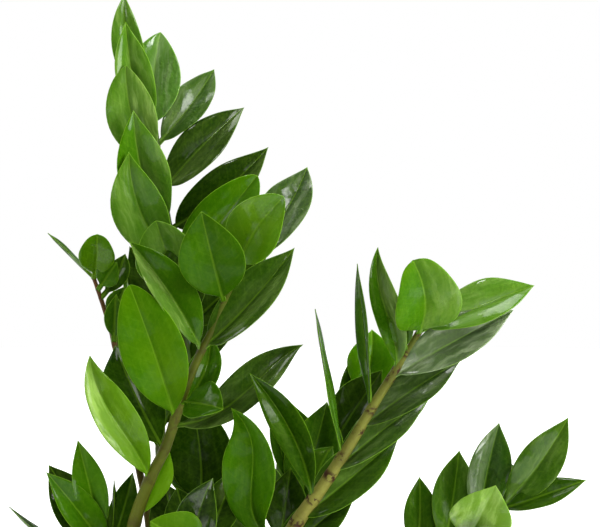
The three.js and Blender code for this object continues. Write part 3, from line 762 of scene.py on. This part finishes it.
def pot_profile():
    """The pot's half section, from the middle of its underside round to the middle of its floor."""
    rim_foot = POT_HEIGHT - RIM_HEIGHT
    corners = [
        ((0, 0), 0),
        ((POT_FOOT_RADIUS, 0), FOOT_ROUND),
        ((pot_radius_at(rim_foot), rim_foot), RIM_FOOT_ROUND),
        ((pot_radius_at(rim_foot) + RIM_STAND_OUT, rim_foot + RIM_SLANT), RIM_FOOT_ROUND),
        ((POT_TOP_RADIUS + RIM_STAND_OUT, POT_HEIGHT), RIM_ROUND),
        ((POT_TOP_RADIUS - POT_WALL, POT_HEIGHT), RIM_ROUND),
        ((pot_radius_at(POT_FLOOR) - POT_WALL, POT_FLOOR), FLOOR_ROUND),
        ((0, POT_FLOOR), 0),
    ]
    profile = []
    for index, (corner, radius) in enumerate(corners):
        if radius == 0:
            profile.append(corner)
            continue
        profile.extend(corner_arc(corner, corners[index - 1][0], corners[index + 1][0], radius))
    return profile


def spun_object(name, profile, sides):
    """A closed body of revolution whose profile starts and ends on the axis."""
    inner = profile[1:-1]
    points = [(0, 0, profile[0][1]), (0, 0, profile[-1][1])]
    for radius, height in inner:
        for turn in turns(sides):
            points.append((radius * math.cos(turn), radius * math.sin(turn), height))
    faces = wall_faces(len(inner), sides, 2)
    last = 2 + (len(inner) - 1) * sides
    for side in range(sides):
        beside = (side + 1) % sides
        faces.append((0, 2 + beside, 2 + side))
        faces.append((1, last + side, last + beside))
    mesh = bpy.data.meshes.new(name)
    mesh.from_pydata([tuple(value * MM for value in point) for point in points], [], faces)
    return bpy.data.objects.new(name, mesh)


def drilled(body, drills):
    """The body with the drills cut out of it, as a plain mesh."""
    collection = bpy.context.scene.collection
    collection.objects.link(body)
    for drill in drills:
        collection.objects.link(drill)
        cut = body.modifiers.new("drain", "BOOLEAN")
        cut.operation = "DIFFERENCE"
        cut.object = drill
    bpy.context.view_layer.update()
    evaluated = body.evaluated_get(bpy.context.evaluated_depsgraph_get())
    mesh = bpy.data.meshes.new_from_object(evaluated)
    body.modifiers.clear()
    body.data = mesh
    collection.objects.unlink(body)
    for drill in drills:
        bpy.data.objects.remove(drill)
    return body


def build_pot(material):
    bottom = -POT_FLOOR
    top = 2 * POT_FLOOR
    drill_profile = [(0, bottom), (DRAIN_RADIUS, bottom), (DRAIN_RADIUS, top), (0, top)]
    drills = []
    for index in range(DRAIN_COUNT):
        turn = 2 * math.pi * (index + 0.5) / DRAIN_COUNT
        drill = spun_object("drill", drill_profile, DRAIN_SIDES)
        drill.location = (DRAIN_RING * MM * math.cos(turn), DRAIN_RING * MM * math.sin(turn), 0)
        drills.append(drill)
    pot = drilled(spun_object("pot_shell", pot_profile(), POT_SIDES), drills)
    pot.data.materials.append(material)
    pot.data.shade_smooth()
    pot.data.set_sharp_from_angle(angle=POT_SHARP_EDGE)
    show_piece(pot, "pot")


def soil_height(x, y):
    reach = np.hypot(x, y) / POT_TOP_RADIUS
    broad = np.sin(x / BROAD_LUMPS["x"] + BROAD_LUMPS["shift"]) * np.cos(y / BROAD_LUMPS["y"])
    lumps = broad + FINE_LUMPS["share"] * np.sin(y / FINE_LUMPS["y"] - x / FINE_LUMPS["x"])
    return SOIL_LEVEL + SOIL_RISE * (1 - reach ** 2) + SOIL_LUMP * lumps * (1 - reach ** 4)


def build_soil(material, perlite_material):
    """The filled inside of the pot: a lumpy top with crumbs and white grains on it."""
    chance = random.Random("soil")
    foot = POT_FLOOR + SOIL_GAP
    foot_radius = pot_radius_at(foot) - POT_WALL - SOIL_GAP
    top_radius = pot_radius_at(SOIL_LEVEL) - POT_WALL - SOIL_GAP
    rings = [(foot_radius, foot)]
    rings += [(top_radius * ring / SOIL_RINGS, None) for ring in range(SOIL_RINGS, 0, -1)]
    points = []
    for radius, height in rings:
        for turn in turns(SOIL_SIDES):
            x = radius * math.cos(turn)
            y = radius * math.sin(turn)
            rough = SOIL_ROUGH * (chance.random() - 0.5) if radius < top_radius else 0
            points.append((x, y, soil_height(x, y) + rough if height is None else height))
    points.append((0, 0, soil_height(0, 0)))
    bed = PieceMesh()
    bed.add(np.array(points), closed_faces(len(rings), SOIL_SIDES, 0))
    bed.build("soil_bed", material, "soil")
    for name, count, radii, stuff in (
        ("soil_crumbs", CRUMB_COUNT, CRUMB_RADIUS, material),
        ("soil_perlite", PERLITE_COUNT, PERLITE_RADIUS, perlite_material),
    ):
        grains = PieceMesh()
        for _ in range(count):
            add_grain(grains, chance, top_radius, radii)
        grains.build(name, stuff, "soil")


def add_grain(piece, chance, top_radius, radii):
    """Adds one uneven grain, partly sunk in the soil's top."""

    def drawn(least, spread):
        return least + spread * chance.random()

    size = radii[0] + (radii[1] - radii[0]) * chance.random() ** GRAIN_SMALL_POWER
    reach = (top_radius - size - GRAIN_FROM_WALL) * math.sqrt(chance.random())
    turn = 2 * math.pi * chance.random()
    x = reach * math.cos(turn)
    y = reach * math.sin(turn)
    centre = np.array([x, y, soil_height(x, y) + GRAIN_LIFT * size])
    spin = 2 * math.pi * chance.random()
    squash = np.array([1, drawn(*GRAIN_BREADTH), drawn(*GRAIN_HEIGHT)])
    rings = []
    for level, girth in GRAIN_RINGS:
        for side_turn in turns(GRAIN_SIDES):
            angle = spin + side_turn
            bump = drawn(*GRAIN_BUMP)
            rings.append((girth * bump * math.cos(angle), girth * bump * math.sin(angle), level * bump))
    rings.append((0, 0, GRAIN_TOP))
    faces = closed_faces(len(GRAIN_RINGS), GRAIN_SIDES, piece.count)
    piece.add(centre + size * squash * np.array(rings), faces)


# Material building
class Wiring:
    """A node tree, with short calls for its nodes. An input is a value or another node's output."""

    def __init__(self, tree):
        self.tree = tree

    def feed(self, node, **inputs):
        """Sets or links a node's inputs, by name with _ for a space, or by number as i0, i1 and on."""
        for key, value in inputs.items():
            by_number = key[0] == "i" and key[1:].isdigit()
            socket = node.inputs[int(key[1:]) if by_number else key.replace("_", " ")]
            if isinstance(value, bpy.types.NodeSocket):
                self.tree.links.new(value, socket)
            else:
                socket.default_value = value
        return node.outputs

    def add(self, kind, settings=None, **inputs):
        """The outputs of a new shader node."""
        node = self.tree.nodes.new("ShaderNode" + kind)
        for key, value in (settings or {}).items():
            setattr(node, key, value)
        return self.feed(node, **inputs)

    def group(self, name, **inputs):
        """The outputs of a shared node group placed here."""
        node = self.tree.nodes.new("ShaderNodeGroup")
        node.node_tree = bpy.data.node_groups[name]
        return self.feed(node, **inputs)

    def maths(self, operation, *values):
        inputs = {"i" + str(index): value for index, value in enumerate(values)}
        return self.add("Math", {"operation": operation}, **inputs)[0]

    def times(self, first, *others):
        product = first
        for factor in others:
            product = self.maths("MULTIPLY", product, factor)
        return product

    def scaled(self, value, factor, start):
        """factor times the value, on top of start."""
        return self.maths("MULTIPLY_ADD", value, factor, start)

    def ramped(self, value, low, high, to_low=0.0, to_high=1.0):
        """A value spread from one range to another, held at both ends and smooth between."""
        settings = {"interpolation_type": "SMOOTHSTEP"}
        return self.add("MapRange", settings, i0=value, i1=low, i2=high, i3=to_low, i4=to_high)[0]

    def mixed(self, share, first, second, blend="MIX"):
        settings = {"data_type": "RGBA", "blend_type": blend}
        return self.add("Mix", settings, i0=share, i6=first, i7=second)[2]

    def even(self, value):
        """A vector or grey with the value three times."""
        return self.add("CombineXYZ", X=value, Y=value, Z=value)[0]

    def axes(self, vector):
        """The X, Y and Z of a vector."""
        return self.add("SeparateXYZ", Vector=vector)

    def place(self, output="Object"):
        """Where each point lies in its piece, or the way it is seen in with Generated for the sky."""
        return self.add("TexCoord")[output]


class Finish(Wiring):
    """A material with its Principled shader, and the place of each point in its piece."""

    def __init__(self, name):
        self.material = bpy.data.materials.new(name)
        self.material.use_nodes = True
        super().__init__(self.material.node_tree)
        self.shader = self.tree.nodes["Principled BSDF"]
        self.position = self.place()

    def patches(self, scale, detail=4.0):
        """Soft patches, from 0 to 1."""
        return self.group("soft_patches", Vector=self.position, Scale=scale, Detail=detail)["Value"]

    def carried(self, name, output="Fac"):
        """A value that the mesh carries at its points."""
        return self.add("Attribute", {"attribute_name": name})[output]

    def bumped(self, height, strength, distance):
        return self.add("Bump", Strength=strength, Distance=distance, Height=height)["Normal"]

    def shaded(self, **inputs):
        """The finished material, once its shader's inputs are set."""
        self.feed(self.shader, **inputs)
        return self.material


def new_group(name, inputs, outputs):
    """A node group of plain values: its wiring, what comes in and what goes out.

    An input with no value is a vector.
    """
    tree = bpy.data.node_groups.new(name, "ShaderNodeTree")
    for socket_name, value in inputs.items():
        kind = "NodeSocketVector" if value is None else "NodeSocketFloat"
        socket = tree.interface.new_socket(socket_name, in_out="INPUT", socket_type=kind)
        if value is not None:
            socket.default_value = value
    for socket_name in outputs:
        tree.interface.new_socket(socket_name, in_out="OUTPUT", socket_type="NodeSocketFloat")
    coming_in = tree.nodes.new("NodeGroupInput").outputs
    return Wiring(tree), coming_in, tree.nodes.new("NodeGroupOutput")


def build_patches():
    """Soft patches: fractal noise at a scale, from 0 to 1."""
    inputs = {"Vector": None, "Scale": 40.0, "Detail": 4.0}
    wires, given, leaving = new_group("soft_patches", inputs, ["Value"])
    noise = wires.add(
        "TexNoise", Vector=given["Vector"], Scale=given["Scale"], Detail=given["Detail"], Roughness=0.55
    )
    wires.feed(leaving, Value=wires.ramped(noise["Fac"], low=0.3, high=0.7))


# Lines on a blade fade out from the first to the second number: in millimetres from the midrib or the
# edge, and for a vein as a part of the space between two veins
MIDRIB_LINE = (0.35, 1.2)
MIDRIB_THINS = {"low": 10.0, "high": 95.0, "to_low": 1.25, "to_high": 0.5}
VEIN_LINE = (0.02, 0.13)
VEIN_WANDER = 3.0
MARGIN_LINE = (0.15, 0.75)

# Veins show from the first to the second distance from the edge, in millimetres
VEINS_FROM_EDGE = (0.6, 4.0)


def build_blade_lines():
    """A blade's lines from its form: midrib, side veins and margin, each a mask from 0 to 1."""
    inputs = {"Form": None, "Wander": 0.5, "Vein Spacing": 6.5, "Vein Lean": 0.9}
    wires, given, leaving = new_group("blade_lines", inputs, ["Midrib", "Veins", "Margin"])
    across, along, from_edge = wires.axes(given["Form"])
    from_midrib = wires.maths("ABSOLUTE", across)
    thinning = wires.ramped(along, **MIDRIB_THINS)
    midrib = wires.ramped(wires.maths("DIVIDE", from_midrib, thinning), *MIDRIB_LINE, 1.0, 0.0)
    back = wires.times(from_midrib, given["Vein Lean"])
    run = wires.scaled(given["Wander"], VEIN_WANDER, wires.maths("SUBTRACT", along, back))
    beat = wires.maths("FRACT", wires.maths("DIVIDE", run, given["Vein Spacing"]))
    off_line = wires.maths("ABSOLUTE", wires.maths("SUBTRACT", beat, 0.5))
    inside = wires.ramped(from_edge, *VEINS_FROM_EDGE)
    veins = wires.times(wires.ramped(off_line, *VEIN_LINE, 1.0, 0.0), inside)
    margin = wires.ramped(from_edge, *MARGIN_LINE, 1.0, 0.0)
    wires.feed(leaving, Midrib=midrib, Veins=veins, Margin=margin)


# How far apart in the noise two leaflets' folds are, for a seed from 0 to 1
LEAVES_APART = 97.0


def build_pleats():
    """Soft folds along a blade, in its own form, from 0 to 1."""
    inputs = {"Form": None, "Seed": 0.0, "Bend": 0.0, "Across": 3.0, "Along": 20.0}
    wires, given, leaving = new_group("leaf_pleats", inputs, ["Height"])
    across, along, _ = wires.axes(given["Form"])
    across = wires.maths("DIVIDE", wires.maths("ADD", across, given["Bend"]), given["Across"])
    along = wires.maths("DIVIDE", along, given["Along"])
    apart = wires.times(given["Seed"], LEAVES_APART)
    place_in_noise = wires.add("CombineXYZ", X=across, Y=along, Z=apart)[0]
    noise = wires.add("TexNoise", Vector=place_in_noise, Scale=1.0, Detail=2.0)
    wires.feed(leaving, Height=noise["Fac"])


def build_crinkle():
    """Fine puckers of a waxy skin: short wrinkles on top of a soft grain."""
    wires, given, leaving = new_group("waxy_crinkle", {"Vector": None, "Scale": 260.0}, ["Height"])
    where = {"Vector": given["Vector"], "Scale": given["Scale"]}
    cells = wires.add("TexVoronoi", {"feature": "SMOOTH_F1"}, **where)
    grain = wires.add("TexNoise", Detail=3.0, **where)
    wires.feed(leaving, Height=wires.scaled(grain["Fac"], factor=0.8, start=cells["Distance"]))


# Leaflet colours, by age
LEAF_AGES = (
    (0.0, (0.054, 0.135, 0.0004, 1)),
    (0.2, (0.026, 0.098, 0.0003, 1)),
    (0.45, (0.015, 0.06, 0.0003, 1)),
    (0.7, (0.008, 0.033, 0.0003, 1)),
    (1.0, (0.004, 0.016, 0.0005, 1)),
)
PALE_LINE = (0.11, 0.23, 0.01, 1)
UNDERSIDE = (0.05, 0.12, 0.008, 1)
# Colours of the painted sheen, standing for reflections of the bright surroundings: green on less waxy
# leaflets, grey on waxier ones. Then the tint of the gloss
PAINTED_GREEN_SHEEN = (0.17, 0.28, 0.05, 1)
PAINTED_GREY_SHEEN = (0.19, 0.24, 0.13, 1)
LEAF_GLOSS = (0.7, 0.95, 0.12, 1)

# Leaflet finish: a scale is in cycles a metre, across, along and spacing are in millimetres, a range
# is where an effect starts and is full, and a share is how much of it shows
LEAF_PATCH_SCALE = 28.0
FRECKLE_SCALE = 420.0
WAX_SCALE = 38.0
PUCKER_SCALE = 300.0
VEIN_SPACING = 8.5
# Bands and streaks break up the painted sheen along the blade
BANDS = {"Across": 6.5, "Along": 34.0}
BAND_RANGE = (0.4, 0.64)
STREAKS = {"Across": 1.7, "Along": 13.0}
STREAK_RANGE = (0.42, 0.72)
STREAK_BEND = 5.0
UNDER_RANGE = (0.6, 0.9)
WAX_RANGE = (0.5, 0.8)
PAINTED_GREY_SHEEN_RANGE = (0.5, 1.0)
PUCKER_RANGE = (0.35, 0.6)
PLEAT_RANGE = (0.45, 0.8)
AGE_MOTTLE = 0.16
FRECKLE_SHARE = 0.1
PLEAT_SHARE = 0.14
VEIN_SHARE = 0.06
MIDRIB_SHARE = 0.55
MARGIN_SHARE = 0.8
UNDER_SHARE = 0.45
PAINTED_SHEEN_GLOSS = 0.7
VEIN_RELIEF = -0.05
PUCKER_RELIEF = 0.8
PATCH_RELIEF = 0.6
PLEAT_RELIEF = 0.5


def leaf_finish():
    skin = Finish("zz_leaf")
    form = skin.carried("leaf_form", "Vector")
    seed = skin.carried("leaf_seed")
    age, light, wax = skin.axes(skin.carried("leaf_look", "Vector"))
    patches = skin.patches(LEAF_PATCH_SCALE)
    lines = skin.group("blade_lines", Form=form, Wander=patches, Vein_Spacing=VEIN_SPACING)
    pleats = skin.group("leaf_pleats", Form=form, Seed=seed)["Height"]
    is_under = skin.ramped(skin.carried("leaf_under"), *UNDER_RANGE)

    # A pale sheen painted in streaks on the halves each leaflet marks, standing for reflections of the
    # bright surroundings; it also carries some gloss
    bent = {"Form": form, "Seed": seed, "Bend": skin.times(patches, STREAK_BEND)}
    bands = skin.group("leaf_pleats", **BANDS, **bent)["Height"]
    streaks = skin.group("leaf_pleats", **STREAKS, **bent)["Height"]
    streaks = skin.scaled(skin.ramped(streaks, *STREAK_RANGE), factor=0.6, start=0.5)
    streaks = skin.times(streaks, skin.ramped(bands, *BAND_RANGE))
    bloom = skin.scaled(streaks, factor=0.9, start=0.28)
    bloom = skin.times(bloom, skin.carried("leaf_bloom"))

    mottle = skin.maths("SUBTRACT", patches, 0.5)
    ramp = skin.tree.nodes.new("ShaderNodeValToRGB")
    stops = ramp.color_ramp.elements
    stops[0].color = LEAF_AGES[0][1]
    stops[1].color = LEAF_AGES[-1][1]
    for at_age, tone in LEAF_AGES[1:-1]:
        stops.new(at_age).color = tone
    colour = skin.feed(ramp, Fac=skin.scaled(mottle, AGE_MOTTLE, age))["Color"]
    for share, tone in (
        (skin.times(skin.patches(FRECKLE_SCALE, detail=2.0), FRECKLE_SHARE), PALE_LINE),
        (skin.ramped(pleats, *PLEAT_RANGE, to_high=PLEAT_SHARE), PALE_LINE),
        (skin.times(lines["Veins"], VEIN_SHARE), PALE_LINE),
        (skin.times(lines["Midrib"], MIDRIB_SHARE), PALE_LINE),
        (skin.times(lines["Margin"], MARGIN_SHARE), PALE_LINE),
        (bloom, skin.mixed(skin.ramped(wax, *PAINTED_GREY_SHEEN_RANGE), PAINTED_GREEN_SHEEN, PAINTED_GREY_SHEEN)),
        (skin.times(is_under, UNDER_SHARE), UNDERSIDE),
    ):
        colour = skin.mixed(share, colour, tone)
    # Each leaflet's brightness factor, partly its own tone and partly painted light and shade, scales the
    # whole colour
    colour = skin.mixed(1.0, colour, skin.even(light), "MULTIPLY")

    puckers = skin.group("waxy_crinkle", Vector=skin.position, Scale=PUCKER_SCALE)["Height"]
    waxy = skin.ramped(skin.patches(WAX_SCALE), *WAX_RANGE)
    height = skin.times(lines["Veins"], VEIN_RELIEF)
    for relief, share in (
        (skin.times(puckers, waxy, wax), PUCKER_RELIEF),
        (patches, PATCH_RELIEF),
        (pleats, PLEAT_RELIEF),
    ):
        height = skin.scaled(relief, share, height)
    coat = skin.times(waxy, wax, skin.ramped(puckers, *PUCKER_RANGE))
    roughness = skin.scaled(patches, factor=0.12, start=0.24)
    return skin.shaded(
        Base_Color=colour,
        Roughness=skin.scaled(is_under, factor=0.2, start=roughness),
        Normal=skin.bumped(height, strength=1.0, distance=0.0007),
        Coat_Weight=skin.scaled(skin.times(bloom, wax), PAINTED_SHEEN_GLOSS, coat),
        Coat_Roughness=0.07,
        Specular_IOR_Level=0.07,
        Specular_Tint=LEAF_GLOSS,
        Subsurface_Weight=0.05,
        Subsurface_Radius=(0.4, 1.0, 0.15),
        Subsurface_Scale=0.002,
    )


STALK_SPECK = (0.1, 0.05, 0.015, 1)
SCAR_BROWN = (0.045, 0.018, 0.008, 1)
SPECK_SHARE = 0.2
SCAR_RELIEF = -0.6

# Millimetres from a leaflet's joint over which its scar fades
SCAR_FADES = (1.0, 5.5)


def stalk_finish():
    bark = Finish("zz_stalk")
    _, _, from_joint = bark.axes(bark.carried("stalk_form", "Vector"))
    patches = bark.patches(scale=45.0)
    specks = bark.patches(scale=330.0, detail=2.0)
    shade = bark.even(bark.ramped(patches, low=0.0, high=1.0, to_low=0.8, to_high=1.15))
    by_joint = bark.ramped(from_joint, *SCAR_FADES, to_low=1.0, to_high=0.0)
    blotches = bark.ramped(bark.patches(scale=210.0), low=0.4, high=0.7)
    scar = bark.times(by_joint, blotches, bark.carried("stalk_scars"))
    colour = bark.mixed(1.0, bark.carried("stalk_tone", "Vector"), shade, "MULTIPLY")
    colour = bark.mixed(bark.times(specks, SPECK_SHARE), colour, STALK_SPECK)
    height = bark.scaled(specks, factor=0.5, start=bark.times(scar, SCAR_RELIEF))
    return bark.shaded(
        Base_Color=bark.mixed(scar, colour, SCAR_BROWN),
        Roughness=bark.scaled(patches, factor=0.15, start=0.38),
        Normal=bark.bumped(height, strength=0.6, distance=0.0004),
        Specular_IOR_Level=0.15,
    )


POT_DARK = (0.022, 0.024, 0.023, 1)
POT_LIGHT = (0.036, 0.039, 0.037, 1)
POT_DUST = (0.2, 0.18, 0.15, 1)
LIGHT_SHARE = 0.5
DUST_SHARE = 0.06


def pot_finish():
    plastic = Finish("anthracite_plastic")
    grain = plastic.patches(scale=900.0, detail=2.0)
    paler = plastic.times(plastic.patches(scale=9.0), LIGHT_SHARE)
    dusty = plastic.times(plastic.patches(scale=60.0), DUST_SHARE)
    return plastic.shaded(
        Base_Color=plastic.mixed(dusty, plastic.mixed(paler, POT_DARK, POT_LIGHT), POT_DUST),
        Roughness=plastic.scaled(grain, factor=0.14, start=0.44),
        Normal=plastic.bumped(grain, strength=0.35, distance=0.0002),
    )


SOIL_DARK = (0.018, 0.011, 0.007, 1)
SOIL_BROWN = (0.05, 0.03, 0.017, 1)
SOIL_PALE = (0.085, 0.052, 0.03, 1)
PALE_SHARE = 0.5


def soil_finish():
    soil = Finish("potting_soil")
    patches = soil.patches(scale=55.0)
    crumbs = soil.patches(scale=420.0)
    colour = soil.mixed(patches, SOIL_DARK, SOIL_BROWN)
    return soil.shaded(
        Base_Color=soil.mixed(soil.times(crumbs, PALE_SHARE), colour, SOIL_PALE),
        Roughness=soil.scaled(crumbs, factor=0.1, start=0.85),
        Normal=soil.bumped(soil.scaled(patches, 1.5, crumbs), strength=0.8, distance=0.0012),
    )


PERLITE_GREY = (0.5, 0.48, 0.44, 1)
PERLITE_WHITE = (0.72, 0.7, 0.66, 1)


def perlite_finish():
    perlite = Finish("perlite_grains")
    pits = perlite.patches(scale=900.0)
    return perlite.shaded(
        Base_Color=perlite.mixed(pits, PERLITE_GREY, PERLITE_WHITE),
        Roughness=0.9,
        Normal=perlite.bumped(pits, strength=0.5, distance=0.0003),
    )


# Stage, lights and camera, in metres
FLOOR_RADIUS = 4.0
FLOOR_SIDES = 96
FLOOR_GREY = (0.85, 0.85, 0.85, 1)
GLOW_SEEN = {"low": 0.4, "high": 1.3, "to_low": 0.1, "to_high": 1.0}
GLOW_CAST = {"low": 0.5, "high": 1.3, "to_low": 0.12, "to_high": 1.0}
LIGHT_AIM = (0.05, 0, 0.42)
SOFTBOXES = (
    {"name": "softbox_right", "at": (1.7, -0.8, 0.95), "size": (1.0, 1.5), "watts": 44},
    {"name": "softbox_front", "at": (0.4, -1.9, 1.7), "size": (0.5, 0.5), "watts": 16},
    {"name": "softbox_left", "at": (-1.6, -0.5, 1.1), "size": (0.6, 1.2), "watts": 12},
    {"name": "softbox_top", "at": (0.1, 0.2, 1.9), "size": (1.4, 1.0), "watts": 22},
)
SKY_FRONT_TO_BACK = {"low": -0.15, "high": 0.35, "to_low": 0.05, "to_high": 0.92}


def floor_finish():
    """Pale, and glowing to white away from the plant: all round for the camera, behind it for the rest."""
    paint = Finish("pale_floor")
    distance = paint.add("VectorMath", {"operation": "LENGTH"}, i0=paint.position)["Value"]
    _, depth, _ = paint.axes(paint.position)
    glow_seen = paint.ramped(distance, **GLOW_SEEN)
    glow_cast = paint.ramped(depth, **GLOW_CAST)
    seen = paint.add("LightPath")["Is Camera Ray"]
    glow = paint.scaled(paint.maths("SUBTRACT", glow_seen, glow_cast), seen, glow_cast)
    return paint.shaded(
        Base_Color=FLOOR_GREY,
        Roughness=0.9,
        Emission_Color=paint.even(glow),
        Emission_Strength=1.0,
    )


def build_floor():
    points = []
    for turn in turns(FLOOR_SIDES):
        points.append((FLOOR_RADIUS * math.cos(turn), FLOOR_RADIUS * math.sin(turn), 0.0))
    mesh = bpy.data.meshes.new("floor")
    mesh.from_pydata(points, [], [tuple(range(FLOOR_SIDES))])
    mesh.materials.append(floor_finish())
    floor = bpy.data.objects.new("floor", mesh)
    bpy.context.scene.collection.objects.link(floor)


def aim_at(thing, target):
    direction = Vector(target) - thing.location
    thing.rotation_euler = direction.to_track_quat("-Z", "Y").to_euler()


def build_lights():
    for softbox in SOFTBOXES:
        lamp = bpy.data.lights.new(softbox["name"], "AREA")
        lamp.shape = "RECTANGLE"
        lamp.size, lamp.size_y = softbox["size"]
        lamp.energy = softbox["watts"]
        stand = bpy.data.objects.new(softbox["name"], lamp)
        stand.location = softbox["at"]
        bpy.context.scene.collection.objects.link(stand)
        aim_at(stand, LIGHT_AIM)


def build_sky():
    """White for the camera, and for the rest bright behind the plant and dim in front."""
    world = bpy.data.worlds.new("studio")
    world.use_nodes = True
    sky = Wiring(world.node_tree)
    _, depth, _ = sky.axes(sky.place("Generated"))
    seen = sky.add("LightPath")["Is Camera Ray"]
    strength = sky.maths("MAXIMUM", sky.ramped(depth, **SKY_FRONT_TO_BACK), seen)
    sky.feed(world.node_tree.nodes["Background"], Color=(1, 1, 1, 1), Strength=strength)
    bpy.context.scene.world = world


def build_camera():
    camera_data = bpy.data.cameras.new("photo_camera")
    camera_data.sensor_fit = "HORIZONTAL"
    camera_data.sensor_width = SENSOR_WIDTH
    camera_data.lens = SENSOR_WIDTH * EYE_DISTANCE / SEEN_WIDTH
    camera_data.clip_end = FARTHEST_SEEN_METRES
    camera = bpy.data.objects.new("photo_camera", camera_data)
    camera.location = EYE * MM
    bpy.context.scene.collection.objects.link(camera)
    aim_at(camera, (EYE_AIM[0] * MM, 0, EYE_AIM[1] * MM))
    bpy.context.scene.camera = camera
    bpy.context.scene.view_settings.view_transform = "Standard"


build_camera()
for build_group in (build_patches, build_blade_lines, build_pleats, build_crinkle):
    build_group()
LEAF = leaf_finish()
STALK = stalk_finish()
for plant_frond in SEEN_FRONDS + BACK_FRONDS:
    build_frond(plant_frond, LEAF, STALK)
build_pot(pot_finish())
build_soil(soil_finish(), perlite_finish())
build_floor()
build_lights()
build_sky()
